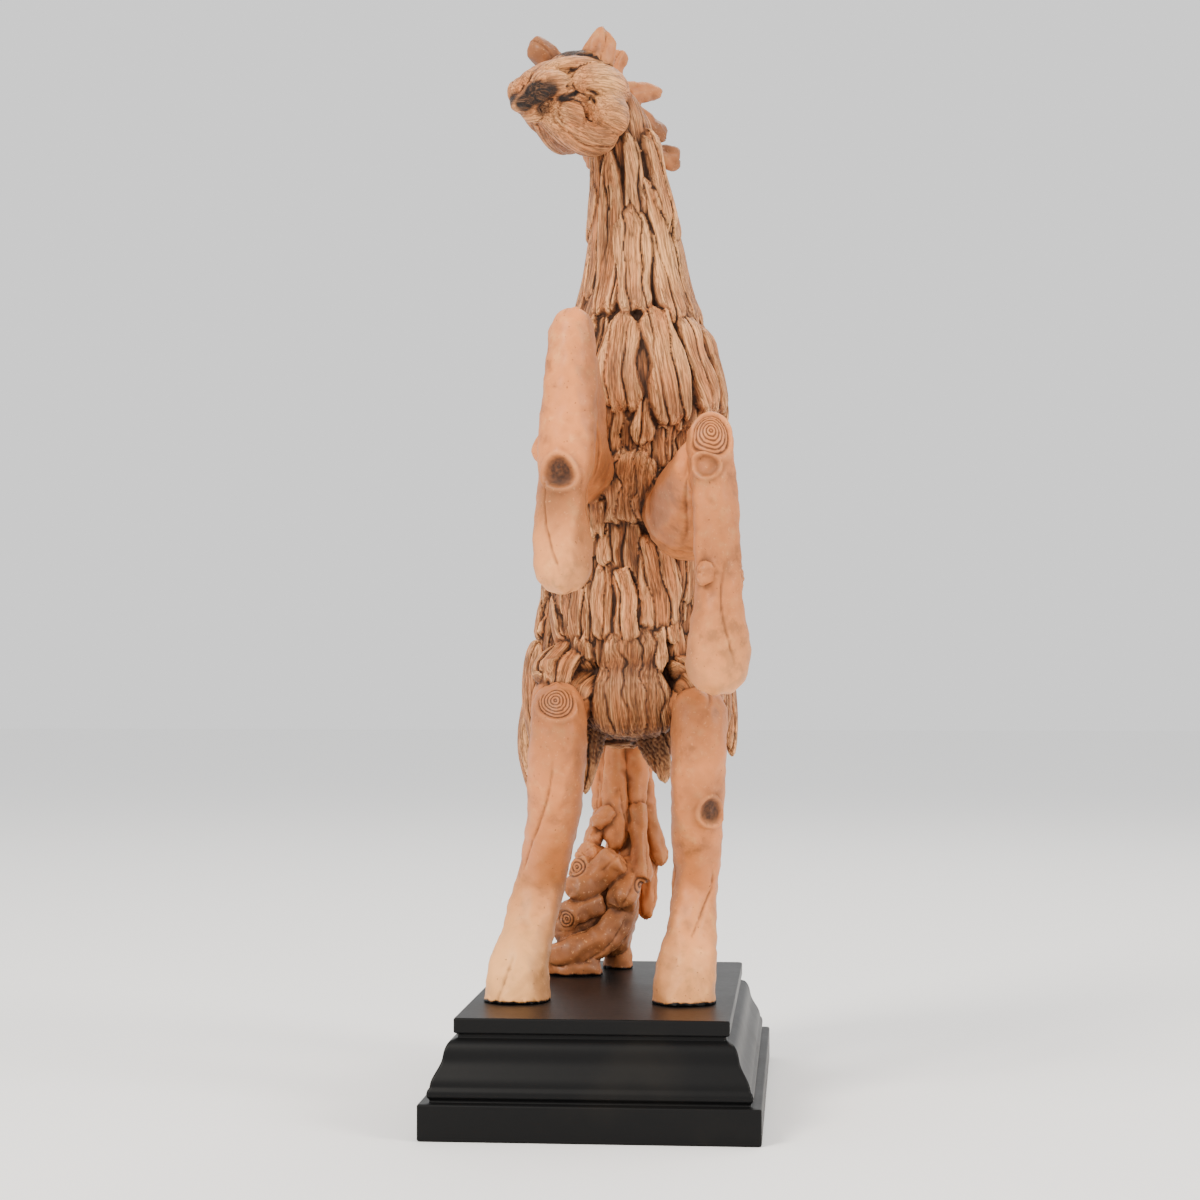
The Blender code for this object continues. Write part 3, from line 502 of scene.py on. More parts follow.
def addTrunk(pile):
    top, bottom = trunk["stations"][-1][0], trunk["stations"][0][0]

    def shape(share, angle):
        height = bottom + (top - bottom) * share
        x, y, wide, deep = trunkAt(height)
        swell = roundedShare(share, 0.015, 0.02)
        across = signedPower(math.cos(angle), 0.92) * wide * swell
        out = signedPower(math.sin(angle), 0.92) * deep * swell
        around = aroundTrunk(x + across, y + out, height)
        return drawn((x + across, y + out, height)), around, 0.0, height, 0.5

    pile.add("core", trunk["tone"], trunk["sides"], trunk["rings"], shape)


def addMasses(pile):
    for middle, halfSizes, tilt in trunk["masses"]:
        turn = Matrix.Rotation(math.radians(tilt), 3, "X")

        def shape(share, angle):
            ring = math.sin(math.pi * share)
            ball = Vector((math.cos(angle) * ring, math.sin(angle) * ring, math.cos(math.pi * share)))
            point = Vector(middle) + turn @ Vector([b * h for b, h in zip(ball, halfSizes)])
            return drawn(point), aroundTrunk(point.x, point.y, point.z), 0.0, point.z, 0.5

        pile.add("core", trunk["tone"], trunk["massSides"], trunk["massRings"], shape)


def surfacePoint(tree, angle, height):
    x, y, _, _ = trunkAt(height)
    middle = drawn((x, y, height))
    out = Vector((math.sin(math.radians(angle)), -math.cos(math.radians(angle)), 0))
    reach = trunk["outside"] * unit
    hit = tree.ray_cast(middle + out * reach, -out, reach)[0]
    return hit if hit is not None else middle


def addPlank(pile, tree, plank, rng):
    topAngle, top, bottomAngle, bottom, width, topRise, bottomRise, tone = plank
    spots = [(topAngle + (bottomAngle - topAngle) * i / 5, top + (bottom - top) * i / 5) for i in range(6)]
    spine = [surfacePoint(tree, a, h) for a, h in spots]
    length = abs(top - bottom)
    lean, taper = rng.uniform(-0.5, 0.5), rng.uniform(0.62, 0.9)
    waves = [(rng.uniform(0.06, 0.13), rng.uniform(5, 11), rng.uniform(0, 6.28)) for _ in range(4)]
    jags = [(rng.uniform(0.4, 1.0), rng.uniform(0.5, 1.6), rng.uniform(0, 6.28)) for _ in range(3)]
    frames = {}

    def frameAt(share):
        if share not in frames:
            angle = topAngle + (bottomAngle - topAngle) * share
            height = top + (bottom - top) * share
            along = heading(spine, share, 0.1)
            side = surfacePoint(tree, angle + 7, height) - surfacePoint(tree, angle - 7, height)
            out = along.cross(side).normalized()
            frames[share] = (curveThrough(spine, share), along, out.cross(along).normalized(), out)
        return frames[share]

    def shape(share, angle):
        share = 0.5 * share + 0.5 * (0.5 - 0.5 * math.cos(math.pi * share))
        middle, along, side, out = frameAt(round(share, 5))
        swell = max(roundedShare(share, 0.22, 0.16), 0.02)
        left = 1 + sum(a * math.sin(f * share + p) for a, f, p in waves[:2])
        right = 1 + sum(a * math.sin(f * share + p) for a, f, p in waves[2:])
        rise = topRise + (bottomRise - topRise) * share
        across = signedPower(math.cos(angle), 0.5)
        wide = width * 0.5 * (taper + (1 - taper) * min(share * 1.6, 1)) * swell
        x = across * wide * (right if across > 0 else left)
        y = signedPower(math.sin(angle), 0.5) * rise * (0.25 + 0.75 * swell)
        jag = sum(a * math.sin(f * x + p) for a, f, p in jags) * 1.1
        slip = jag * (smoothStep(0.72, 1.0, share) + smoothStep(0.28, 0.0, share))
        sway = math.sin(share * 5 + lean * 6) * width * 0.04
        point = middle + (side * (x + sway) + out * y + along * slip) * unit
        crown = min(max(math.sin(angle), 0.0) * 1.6, 1.0)
        return point, x, y, share * length, crown

    kind = "leaf" if width > planks["leafWidth"] else "plank"
    pile.add(kind, tone, planks["sides"], planks["rings"], shape)


def addPlanks(pile, tree):
    rng = random.Random(figure["seed"])
    for plank in planks["front"]:
        addPlank(pile, tree, plank, rng)
    for top, bottom, first, last, count, rise in planks["rows"]:
        step = (last - first) / (count - 1)
        for i in range(count):
            angle = first + step * (i + rng.uniform(-0.12, 0.12))
            slant = rng.uniform(-5, 5)
            _, _, halfWidth, halfDepth = trunkAt((top + bottom) / 2)
            width = math.radians(step) * (halfWidth + halfDepth) / 2 * rng.uniform(1.0, 1.25)
            drop = rng.uniform(-5, 5) + (3 if i % 2 else -3)
            proud = rise * rng.uniform(0.9, 1.25)
            tone = rng.uniform(-0.35, 0.4)
            spot = (angle, top + drop, angle + slant, bottom + drop)
            addPlank(pile, tree, (*spot, width, proud * 0.6, proud * 1.3, tone), rng)
            under = (angle + step / 2, top + drop, angle + slant + step / 2, bottom + drop - 6)
            addPlank(pile, tree, (*under, width * 1.2, *planks["underLayer"]), rng)


def addHead(pile, rng):
    turn, dip = math.radians(head["turn"]), math.radians(head["dip"])
    forward = Vector((-math.sin(turn) * math.cos(dip), -math.cos(turn) * math.cos(dip), -math.sin(dip)))
    left = Vector((0, 0, 1)).cross(forward).normalized()
    axes = Matrix((forward, left, forward.cross(left).normalized())).transposed()
    for name, (points, halfWidths, halfDepths) in head["logs"].items():
        placed = [head["place"] + axes @ Vector(p) for p in points]
        up = (0, -1, 0.2) if "Ear" in name else axes @ Vector((0, 0, 1))
        kind = "tail" if "Ear" in name else "head"
        log = (placed, halfWidths, halfDepths, up)
        addLog(pile, kind, log, rng.uniform(-0.1, 0.25), rng, ends=(0.3, 0.3))
    return axes


pile = WoodPile()
rng = random.Random(figure["seed"] + 1)
addTrunk(pile)
addMasses(pile)
coreTree = BVHTree.FromPolygons(pile.co, pile.triangles)
addPlanks(pile, coreTree)
for log in limbs.values():
    addLog(pile, "limb", log, figure["limbTone"], rng, (0.08, 0.04), figure["limbSides"])
for log in shins.values():
    addLog(pile, "limb", log, figure["limbTone"], rng, (0.1, 0.13), figure["limbSides"])
for log in [*tail.values(), *mane.values()]:
    addLog(pile, "tail", log, rng.uniform(-0.25, 0.15), rng, ends=(0.12, 0.16))
headAxes = addHead(pile, rng)
for log in flakes.values():
    addLog(pile, "plank", log, rng.uniform(-0.2, 0.2), rng, ends=(0.2, 0.35))
print("wood pile:", len(pile.kinds), "pieces,", len(pile.triangles), "faces")


def meshObject(name, mesh):
    made = bpy.data.objects.new(name, mesh)
    bpy.context.scene.collection.objects.link(made)
    return made


def throughModifier(mesh, name, kind, **settings):
    holder = meshObject(name, mesh)
    modifier = holder.modifiers.new(name, kind)
    for key, value in settings.items():
        setattr(modifier, key, value)
    bpy.context.view_layer.update()
    result = bpy.data.meshes.new_from_object(holder.evaluated_get(bpy.context.evaluated_depsgraph_get()))
    bpy.data.objects.remove(holder)
    return result


def readVerts(mesh, name):
    flat = np.empty(len(mesh.vertices) * 3, np.float32)
    mesh.vertices.foreach_get(name, flat)
    return flat.reshape(-1, 3).astype(np.float64)


def moveVerts(mesh, co):
    mesh.vertices.foreach_set("co", co.astype(np.float32).ravel())
    mesh.update()


class PieceMap:
    # finds, for any point near the pile, the piece it belongs to and its place on that piece
    def __init__(self, pile):
        self.co, self.values = np.array(pile.co), np.array(pile.values)
        self.triangles, self.pieceOf = np.array(pile.triangles), np.array(pile.pieceOf)
        self.kinds, self.tones = pile.kinds, np.array(pile.tones)
        self.tree = BVHTree.FromPolygons(pile.co, pile.triangles)
        self.own = {}

    def read(self, co, index):
        corners = self.co[self.triangles[index]]
        a, b, c = corners[:, 0], corners[:, 1], corners[:, 2]
        v0, v1, v2 = b - a, c - a, co - a
        d00, d01, d11 = (v0 * v0).sum(1), (v0 * v1).sum(1), (v1 * v1).sum(1)
        d20, d21 = (v2 * v0).sum(1), (v2 * v1).sum(1)
        scale = np.maximum(d00 * d11 - d01 * d01, 1e-20)
        v = np.clip((d11 * d20 - d01 * d21) / scale, 0, 1)
        w = np.clip((d00 * d21 - d01 * d20) / scale, 0, 1)
        weights = np.stack([1 - v - w, v, w], 1)[:, :, None]
        return (self.values[self.triangles[index]] * weights).sum(1)

    def nearest(self, co):
        found = [self.tree.find_nearest(Vector(p)) for p in co]
        index = np.array([f[2] for f in found])
        return self.pieceOf[index], self.read(np.array([f[0] for f in found]), index)

    def onPiece(self, piece, co):
        if piece not in self.own:
            faces = np.nonzero(self.pieceOf == piece)[0]
            first, last = self.triangles[faces].min(), self.triangles[faces].max()
            corners = (self.triangles[faces] - first).tolist()
            self.own[piece] = (BVHTree.FromPolygons(self.co[first : last + 1].tolist(), corners), faces)
        tree, faces = self.own[piece]
        found = [tree.find_nearest(Vector(p)) for p in co]
        return self.read(np.array([f[0] for f in found]), faces[[f[2] for f in found]])


pieceMap = PieceMap(pile)
rawMesh = bpy.data.meshes.new("wood pile")
pile.joined.to_mesh(rawMesh)
fused = throughModifier(rawMesh, "one casting", "REMESH", mode="VOXEL", voxel_size=figure["voxel"])
print("fused:", len(fused.vertices), "points")

pieceKind = np.array(pieceMap.kinds)
pieceRng = random.Random(figure["seed"] + 2)
pieceSeeds = np.array([[pieceRng.uniform(0, 6.28) for _ in range(8)] for _ in pieceMap.kinds])
pieceShift = np.array([[pieceRng.uniform(-400, 400) for _ in range(3)] for _ in pieceMap.kinds])


def edgeEnds(mesh):
    flat = np.empty(len(mesh.edges) * 2, np.int64)
    mesh.edges.foreach_get("vertices", flat)
    return flat.reshape(-1, 2).T


def smoothed(mesh, values, rounds):
    start, end = edgeEnds(mesh)
    size = len(mesh.vertices)
    count = np.bincount(start, minlength=size) + np.bincount(end, minlength=size)
    values = values.copy()
    for _ in range(rounds):
        for axis in range(values.shape[1]):
            own = values[:, axis]
            total = np.bincount(start, own[end], size) + np.bincount(end, own[start], size)
            values[:, axis] = own * 0.4 + total / count * 0.6
    return values


def relief(mesh, rounds):
    # how far each point stands out of, or sinks into, the surface smoothed by that many rounds
    co = readVerts(mesh, "co")
    return ((co - smoothed(mesh, co, rounds)) * readVerts(mesh, "normal")).sum(1) / unit


def crack(distance, width):
    return np.exp(-((distance / width) ** 2))


def drawnBack(co):
    return (co - np.array([0, 0, plinthTop])) / unit


def onHead(mm):
    # from the drawing's millimetres to forward, left and up from the poll
    return (mm - np.array(head["place"])) @ np.array(headAxes)


def distanceTo(path, at):
    best = np.full(len(at), 1e9)
    for a, b in zip(np.array(path, float), np.array(path[1:], float)):
        t = np.clip((at - a) @ (b - a) / ((b - a) @ (b - a)), 0, 1)
        best = np.minimum(best, np.linalg.norm(at - a - t[:, None] * (b - a), axis=1))
    return best


# depths and widths in the drawing's millimetres, and rounds of smoothing
carving = {
    # limbs and head, the head once more, and where a forearm meets its shin
    "smoothRounds": (20, 18, 50),
    "blendRounds": 4,
    # how widely the ridges and hollows are told apart, for the paint
    "fineRounds": 5,
    "broadRounds": 45,
    "jointReach": 8,
    # shares of the planks' own depth
    "headGrain": 0.65,
    "leafGrain": 0.6,
    "swell": 0.62,
    "crease": 0.6,
    "limbKnobs": 0.3,
    "tailKnobs": 0.42,
    "gritDepth": 0.4,
    "lipDepth": 1.5,
    "lipWidth": 0.85,
    "lipPaint": 1.3,
    "foldDepth": 0.9,
    "foldWidth": 0.9,
}


def grooves(value, seed, wavy):
    # splits between strips that lie at slightly different heights, with a finer comb of lines
    across, out, along, crown = value.T
    u = across + 0.9 * np.sin(along * 0.13 + seed[:, 0]) + 0.4 * np.sin(along * 0.37 + seed[:, 1])
    u += wavy * (1.3 * np.sin(along * 0.33 + across * 0.12) + 0.6 * np.sin(along * 0.7 - across * 0.3))
    split = u * planks["splitRate"] + seed[:, 2] + 0.4 * np.sin(along * 0.06 + seed[:, 3])
    comb = u * planks["combRate"] + seed[:, 4] + 0.9 * np.sin(along * 0.11 + seed[:, 5])
    slow = 0.5 + 0.5 * np.sin(along * 0.14 + across * 0.3 + seed[:, 6])
    depth = planks["ledge"] * np.sin(np.floor(split / math.pi) * 2.4 + seed[:, 7])
    depth -= planks["splitDepth"] * crack(np.sin(split), 0.24) * (0.25 + 0.75 * slow)
    depth -= planks["combDepth"] * crack(np.sin(comb), 0.6) * (1 - 0.6 * slow) * (1 + wavy)
    return depth * np.clip(crown * 1.5, 0.3, 1)


def dents(value, seed):
    # the uneven swell of a bleached branch, with a few faint creases
    across, out, along, _ = value.T
    bend = np.arctan2(out, across)
    swell = np.sin(bend * 2 + along * 0.04 + seed[:, 0]) * np.sin(along * 0.09 + seed[:, 1])
    swell += 0.5 * np.sin(bend * 5 - along * 0.07 + seed[:, 2]) * np.sin(along * 0.16 + seed[:, 4])
    crease = crack(np.sin(bend * 1.5 + 0.5 * np.sin(along * 0.08 + seed[:, 3]) + seed[:, 5]), 0.09)
    comesAndGoes = np.clip(np.sin(along * 0.07 + seed[:, 6]) * 2, 0, 1)
    return swell * carving["swell"] - crease * carving["crease"] * comesAndGoes


def branchKnobs(x, y, z):
    # the broad and fine lumps of a branch
    broad = np.sin(x * 0.5 + 1.5 * np.sin(z * 0.3)) * np.sin(z * 0.45 + 1.2 * np.sin(x * 0.4 + y * 0.3))
    return broad + 0.3 * np.sin(x * 1.1 + 1.5 * np.sin(z * 0.7)) * np.sin(z * 0.9 + y * 0.8)


def gritLumps(x, z):
    rough = np.sin(x * 1.9 + 2 * np.sin(z * 1.3)) * np.sin(z * 1.7 + 1.7 * np.sin(x * 1.1))
    return rough + 0.5 * np.sin(x * 3.1 + z * 2.7)


def blendJoins(mesh, co, isLimb, isHead):
    # branches and head are smoothed, and each forearm is run into its shin
    joints = np.zeros(len(co))
    for joint in shinJoints:
        joints = np.maximum(joints, crack(distanceTo(joint, drawnBack(co)), carving["jointReach"]) * isLimb)
    for chosen, rounds in zip((isLimb | isHead, isHead, joints), carving["smoothRounds"]):
        weight = smoothed(mesh, chosen.astype(float)[:, None], carving["blendRounds"])
        co += (smoothed(mesh, co, rounds) - co) * weight
    moveVerts(mesh, co)


def carveFace(lift, marks, face, isHead):
    lips = distanceTo(head["mouth"], face)
    marks["lips"] = isHead * crack(lips, carving["lipPaint"])
    lift -= isHead * carving["lipDepth"] * crack(lips, carving["lipWidth"])
    for fold in head["folds"]:
        lift -= isHead * carving["foldDepth"] * crack(distanceTo(fold, face), carving["foldWidth"])


def stampKnot(knot, lift, marks, mm, normal):
    # a raised rim, a cut line inside it, the growth rings, and a bowl with a grain at its middle
    place, facing, radius, rings, bowl, rim = knot
    facing = np.array(Vector(facing).normalized())
    offset = mm - np.array(place)
    depth = offset @ facing
    flat = offset - depth[:, None] * facing
    bend = np.arctan2(flat[:, 2], flat[:, 0])
    wobble = 1 + 0.03 * np.sin(3 * bend + radius) + 0.04 * np.sin(2 * bend)
    r = np.linalg.norm(flat, axis=1) * wobble / radius
    near = (np.abs(depth) < 6) & (r < 1.8) & (normal @ facing > 0.1)
    inside = np.clip((1.02 - r) * 8, 0, 1)
    stamp = rim * crack(r - 1.1, 0.13) * 0.8
    if rings:
        stamp -= 0.5 * crack(r - 0.93, 0.07)
        stamp += np.cos(r * math.pi * 2 * rings) * 0.3 * inside
        marks["turn"] = np.where(near, np.minimum(r, 1.05) * rings, marks["turn"])
        marks["knot"] = np.where(near, np.maximum(marks["knot"], inside), marks["knot"])
    stamp += -bowl * np.clip(1 - (r / 0.95) ** 2, 0, 1) ** 0.6 + 0.45 * bowl * crack(r, 0.28)
    if bowl > 1:
        sunk = np.clip((0.98 - r) * 4, 0, 1)
        marks["hollow"] = np.where(near, np.maximum(marks["hollow"], sunk), marks["hollow"])
    return np.where(near, lift * (1 - inside) + stamp, lift)


def carve(mesh):
    co = readVerts(mesh, "co")
    piece, value = pieceMap.nearest(co)
    kind, seed = pieceKind[piece], pieceSeeds[piece]
    isHead, isLeaf, isLimb, isTail = (kind == k for k in ("head", "leaf", "limb", "tail"))
    isLog = isLimb | isTail
    blendJoins(mesh, co, isLimb, isHead)
    normal = readVerts(mesh, "normal")
    mm = drawnBack(co)
    x, y, z = mm.T
    depthShare = np.where(isHead, carving["headGrain"], np.where(isLeaf, carving["leafGrain"], 1))
    inGrain = grooves(value, seed, isLeaf.astype(float)) * depthShare
    lift = np.where(isLog, dents(value, seed), inGrain)
    lift += branchKnobs(x, y, z) * np.where(isTail, carving["tailKnobs"], carving["limbKnobs"] * isLimb)
    marks = {name: np.zeros(len(co)) for name in ("turn", "knot", "hollow")}
    # grit lies between the hind legs, under the belly
    marks["grit"] = ~isLog * np.exp(-(((x - 8) / 22) ** 4 + ((y + 16) / 16) ** 4 + ((z - 101) / 12) ** 4))
    lift += marks["grit"] * gritLumps(x, z) * carving["gritDepth"]
    carveFace(lift, marks, onHead(mm), isHead)
    for knot in knots.values():
        lift = stampKnot(knot, lift, marks, mm, normal)
    moveVerts(mesh, co + normal * lift[:, None] * unit)
    return marks


marks = carve(fused)
print("carved")
fineRelief = relief(fused, carving["fineRounds"])
broadRelief = relief(fused, carving["broadRounds"])
carvedPoints = readVerts(fused, "co")
print("relief measured")

thinShare = figure["triangles"] / sum(len(p.vertices) - 2 for p in fused.polygons)
thinned = throughModifier(fused, "fewer faces", "DECIMATE", ratio=min(thinShare, 1.0))


def keepMainShell(bm):
    shells, seen = [], set()
    for start in bm.verts:
        if start in seen:
            continue
        shell, waiting = {start}, [start]
        while waiting:
            for edge in waiting.pop().link_edges:
                for vert in edge.verts:
                    if vert not in shell:
                        shell.add(vert)
                        waiting.append(vert)
        seen |= shell
        shells.append(shell)
    largest = max(shells, key=len)
    bmesh.ops.delete(bm, geom=[v for v in bm.verts if v not in largest], context="VERTS")


horseMesh = bmesh.new()
horseMesh.from_mesh(thinned)
keepMainShell(horseMesh)
everything = horseMesh.verts[:] + horseMesh.edges[:] + horseMesh.faces[:]
sole = plinthTop + figure["seatGap"]
bmesh.ops.bisect_plane(
    horseMesh,
    geom=everything,
    dist=1e-6,
    plane_co=(0, 0, sole),
    plane_no=(0, 0, 1),
    clear_inner=True,
)
bmesh.ops.holes_fill(horseMesh, edges=[e for e in horseMesh.edges if e.is_boundary], sides=0)
bmesh.ops.triangulate(horseMesh, faces=horseMesh.faces)
horseMesh.to_mesh(thinned)
horseMesh.free()
thinned.shade_smooth()
driftwoodHorse = meshObject("driftwoodHorse", thinned)
print("horse:", len(thinned.polygons), "triangles")


# where the paint changes
patches = {
    # how much of the planks' paint each kind of piece takes
    "wooden": {"core": 0.9, "plank": 1.0, "leaf": 1.0, "head": 0.85, "limb": 0.0, "tail": 0.0},
    # stubs and ears above this height take the mane's shade, and the legs stand on both sides of the middle
    "maneFrom": 270,
    "middle": 12,
    # place in the drawing, reach and strength
    "pale": (
        ((-33, -43, 0), 44, 1.2),
        ((31.8, -43, 0), 38, 0.55),
        ((-7, -112, 154), 34, 0.4),
        ((46.6, -109, 118), 30, 0.35),
        ((2, -61, 352), 11, 1.0),
        ((-13, -77, 352), 8, 0.6),
        ((4, -60, 340), 8, 0.4),
        # painted highlight: the right of the neck and the chest planks are lightened as if lit from the right
        ((23, -40, 290), 18, 0.7),
        ((31, -60, 252), 13, 0.6),
        ((14, -62, 258), 10, 0.4),
    ),
    "shade": (
        ((-16, -52, 110), 26, 0.75),
        ((37, -48, 110), 26, 0.65),
        ((-11, -124, 190), 14, 0.8),
        ((44, -120, 198), 14, 0.6),
        # painted shade: the whole right foreleg is darkened, as the side away from the light
        ((46, -114, 172), 46, 0.5),
        ((-24, -32, 52), 36, 0.35),
        ((35, -32, 56), 30, 0.35),
        ((4, -55, 122), 26, 0.75),
        ((-34, -40, 148), 20, 0.7),
        ((41, -48, 78), 16, 0.6),
        ((36, -70, 190), 28, 0.5),
        ((-8, -70, 206), 28, 0.4),
        ((48, -122, 148), 11, 0.4),
        ((-12, 40, 20), 38, 1.2),
        ((0, 60, 60), 40, 0.7),
        ((-22, -50, 366), 11, 1.3),
        ((21, -12, 342), 12, 1.3),
        ((28, -4, 334), 11, 1.0),
    ),
}


def keepValues(mesh, name, values, kind="FLOAT", domain="POINT", field="value"):
    layer = mesh.attributes.new(name, kind, domain)
    layer.data.foreach_set(field, values.astype(np.float32).ravel())


def dressPoints(mesh):
    # what the finish needs to know at each point, kept as attributes
    co = readVerts(mesh, "co")
    tree = kdtree.KDTree(len(carvedPoints))
    for i, p in enumerate(carvedPoints):
        tree.insert(p, i)
    tree.balance()
    near = np.array([tree.find(Vector(p))[1] for p in co])
    fine, broad = fineRelief[near], broadRelief[near]
    piece, value = pieceMap.nearest(co)
    kind = pieceKind[piece]
    isPlank = (kind == "plank") | (kind == "leaf")
    mm = drawnBack(co)
    isMane = (kind == "tail") & (mm[:, 2] > patches["maneFrom"])

    def patch(at, spots):
        strength = np.zeros(len(at))
        for place, reach, most in spots:
            far = np.linalg.norm(at - np.array(place), axis=1) / reach
            strength = np.maximum(strength, most * np.clip(1.25 - far, 0, 1))
        return strength

    soot = patch(onHead(mm), head["soot"]) * 1.2 * (kind == "head")
    # painted shade: the legs darken on their inner sides and towards both edges, as if turned from the light
    sideways = readVerts(mesh, "normal")[:, 0]
    legSideShade = np.clip(sideways * np.where(mm[:, 0] < patches["middle"], 1, -1) * 1.7 - 0.45, 0, 1) * 0.7
    legSideShade = np.maximum(legSideShade, np.clip(np.abs(sideways) * 1.6 - 0.9, 0, 1) * 0.5) * (kind == "limb")
    masks = {
        "wooden": np.array([patches["wooden"][k] for k in pieceMap.kinds])[piece],
        "tone": pieceMap.tones[piece] * 0.5 + 0.5,
        "ridge": np.clip(fine * 4.0, 0, 1) * 0.55 + np.clip(broad * 0.6, 0, 1) * 0.6,
        # brown wash and painted shade, gathered in the fine and broad hollows
        "hollowWashAndShade": np.clip(-fine * 4.5, 0, 1) * 0.6 + np.clip(-broad * 0.8, 0, 1) * 0.9,
        # painted shade: each plank darkens from its crown towards its edges and underside
        "side": isPlank * np.clip(1.1 - value[:, 3] * 1.4, 0, 1),
        "pale": patch(mm, patches["pale"]),
        # browner patches and the mane's brown, with painted shade down the legs' sides and over the right
        # foreleg
        "shade": np.maximum(np.maximum(patch(mm, patches["shade"]), legSideShade), 0.5 * isMane),
        "soot": np.maximum(soot, marks["lips"][near]),
    }
    masks.update({name: marks[name][near] for name in ("knot", "hollow", "grit")})
    for name, values in masks.items():
        keepValues(mesh, name, np.clip(values, 0, 1))
    keepValues(mesh, "turn", marks["turn"][near])
    return piece, value


def dressCorners(mesh, piece, value):
    # the grain is kept at each face's own corners, so it doesn't smear from one piece to the next
    co = readVerts(mesh, "co")
    corners = np.empty(len(mesh.loops), np.int64)
    mesh.loops.foreach_get("vertex_index", corners)
    faces = corners.reshape(-1, 3)
    facePiece, _ = pieceMap.nearest(co[faces].mean(1))
    cornerPiece = np.repeat(facePiece, 3)
    place = value[corners][:, :3].copy()
    strange = np.nonzero(piece[corners] != cornerPiece)[0]
    for number in np.unique(cornerPiece[strange]):
        chosen = strange[cornerPiece[strange] == number]
        place[chosen] = pieceMap.onPiece(int(number), co[corners[chosen]])[:, :3]
    keepValues(mesh, "grain", place + pieceShift[cornerPiece], "FLOAT_VECTOR", "CORNER", "vector")


piece, value = dressPoints(thinned)
dressCorners(thinned, piece, value)
print("attributes written")

plinth = {
    "groove": 0.0038,
    "edgeRound": 0.0007,
    "cornerRound": 0.0009,
    "steps": 22,
    # an edge that spans less than this to the side runs up a corner
    "shortEdge": 0.02,
    # the heights and insets of the mouldings, from the slab to the top plate
    "slab": 0.0135,
    "grooveHeight": 0.0016,
    "footHeight": 0.0038,
    "footInset": 0.0030,
    "ogeeTop": 0.0125,
    "plateInset": 0.0117,
    "plateHeight": 0.0058,
    "grooveDepth": 0.0014,
    # the small step that keeps neighbouring points of the profile apart
    "ease": 0.0001,
}


def plinthProfile(height):
    p = plinth
    r, ease = p["edgeRound"], p["ease"]

    def corner(inset, z):
        # rounds an upper edge: a quarter turn in three steps
        turns = (0.0, 0.52, 1.05, 1.57)
        return [(inset + r * (1 - math.cos(a)), z + r * (math.sin(a) - 1)) for a in turns]

    foot = p["slab"] + p["grooveHeight"]
    ogeeStart = foot + p["footHeight"]
    plateFoot = height - p["plateHeight"]
    ogeeEnd = plateFoot - p["grooveHeight"]
    lip = p["footInset"] + r * 1.5
    profile = [(r, 0.0), (0.3 * r, 0.3 * r), (0.0, r)]
    profile += corner(0.0, p["slab"])
    profile.append((p["groove"], p["slab"] - ease))
    profile.append((p["groove"] + ease * 2, p["slab"] + p["grooveHeight"] * 0.4))
    profile.append((p["groove"], p["slab"] + p["grooveHeight"] * 0.8))
    profile += [(p["footInset"] + ease * 3, foot + ease), (p["footInset"], foot + ease * 6)]
    profile.append((p["footInset"], foot + p["footHeight"] * 0.5))
    profile += [(p["footInset"] + ease * 4, foot + p["footHeight"] * 0.8), (lip, ogeeStart)]
    run = p["ogeeTop"] - lip
    for i in range(1, p["steps"] + 1):
        t = i / p["steps"]
        hollow = 0.5 - 0.5 * math.cos(math.pi * min(t * 1.6, 1.0))
        crown = 1 - math.sqrt(max(1 - t**4, 0.0))
        profile.append((lip + run * (0.45 * hollow + 0.55 * crown), ogeeStart + (ogeeEnd - ogeeStart) * t))
    deep = p["plateInset"] + p["grooveDepth"]
    profile += [(deep, ogeeEnd + ease), (deep, plateFoot - ease)]
    profile += [(p["plateInset"] + r, plateFoot), (p["plateInset"] + 0.3 * r, plateFoot + 0.3 * r)]
    profile.append((p["plateInset"], plateFoot + r))
    profile += corner(p["plateInset"], height)
    return profile


def buildPlinth():
    low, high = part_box("plinth")
    halfX, halfY, height = high.x, high.y, high.z
    bm = bmesh.new()
    outline = bmesh.ops.create_circle(bm, cap_ends=False, segments=4, radius=1)["verts"]
    ring = bm.edges[:]
    profile = plinthProfile(height)

    def settle(verts, inset, z):
        for vert in verts:
            vert.co.x = math.copysign(halfX - inset, vert.co.x)
            vert.co.y = math.copysign(halfY - inset, vert.co.y)
            vert.co.z = z

    bmesh.ops.rotate(bm, verts=outline, cent=(0, 0, 0), matrix=Matrix.Rotation(math.radians(45), 3, "Z"))
    settle(outline, *profile[0])
    for inset, z in profile[1:]:
        grown = bmesh.ops.extrude_edge_only(bm, edges=ring)["geom"]
        ring = [g for g in grown if isinstance(g, bmesh.types.BMEdge)]
        settle({v for e in ring for v in e.verts}, inset, z)
    spans = {e: e.verts[0].co - e.verts[1].co for e in bm.edges}
    bmesh.ops.bevel(
        bm,
        geom=[e for e, span in spans.items() if max(abs(span.x), abs(span.y)) < plinth["shortEdge"]],
        offset=plinth["cornerRound"],
        offset_type="OFFSET",
        affect="EDGES",
        segments=4,
        profile=0.5,
        material=-1,
        clamp_overlap=True,
    )
    bmesh.ops.holes_fill(bm, edges=[e for e in bm.edges if e.is_boundary], sides=0)
    bmesh.ops.recalc_face_normals(bm, faces=bm.faces)
    mesh = bpy.data.meshes.new("blackPlinth")
    bm.to_mesh(mesh)
    bm.free()
    mesh.shade_smooth()
    return meshObject("blackPlinth", mesh)


blackPlinth = buildPlinth()
weighted = blackPlinth.modifiers.new("flat faces stay flat", "WEIGHTED_NORMAL")
weighted.keep_sharp = True
print("plinth:", len(blackPlinth.data.polygons), "faces")


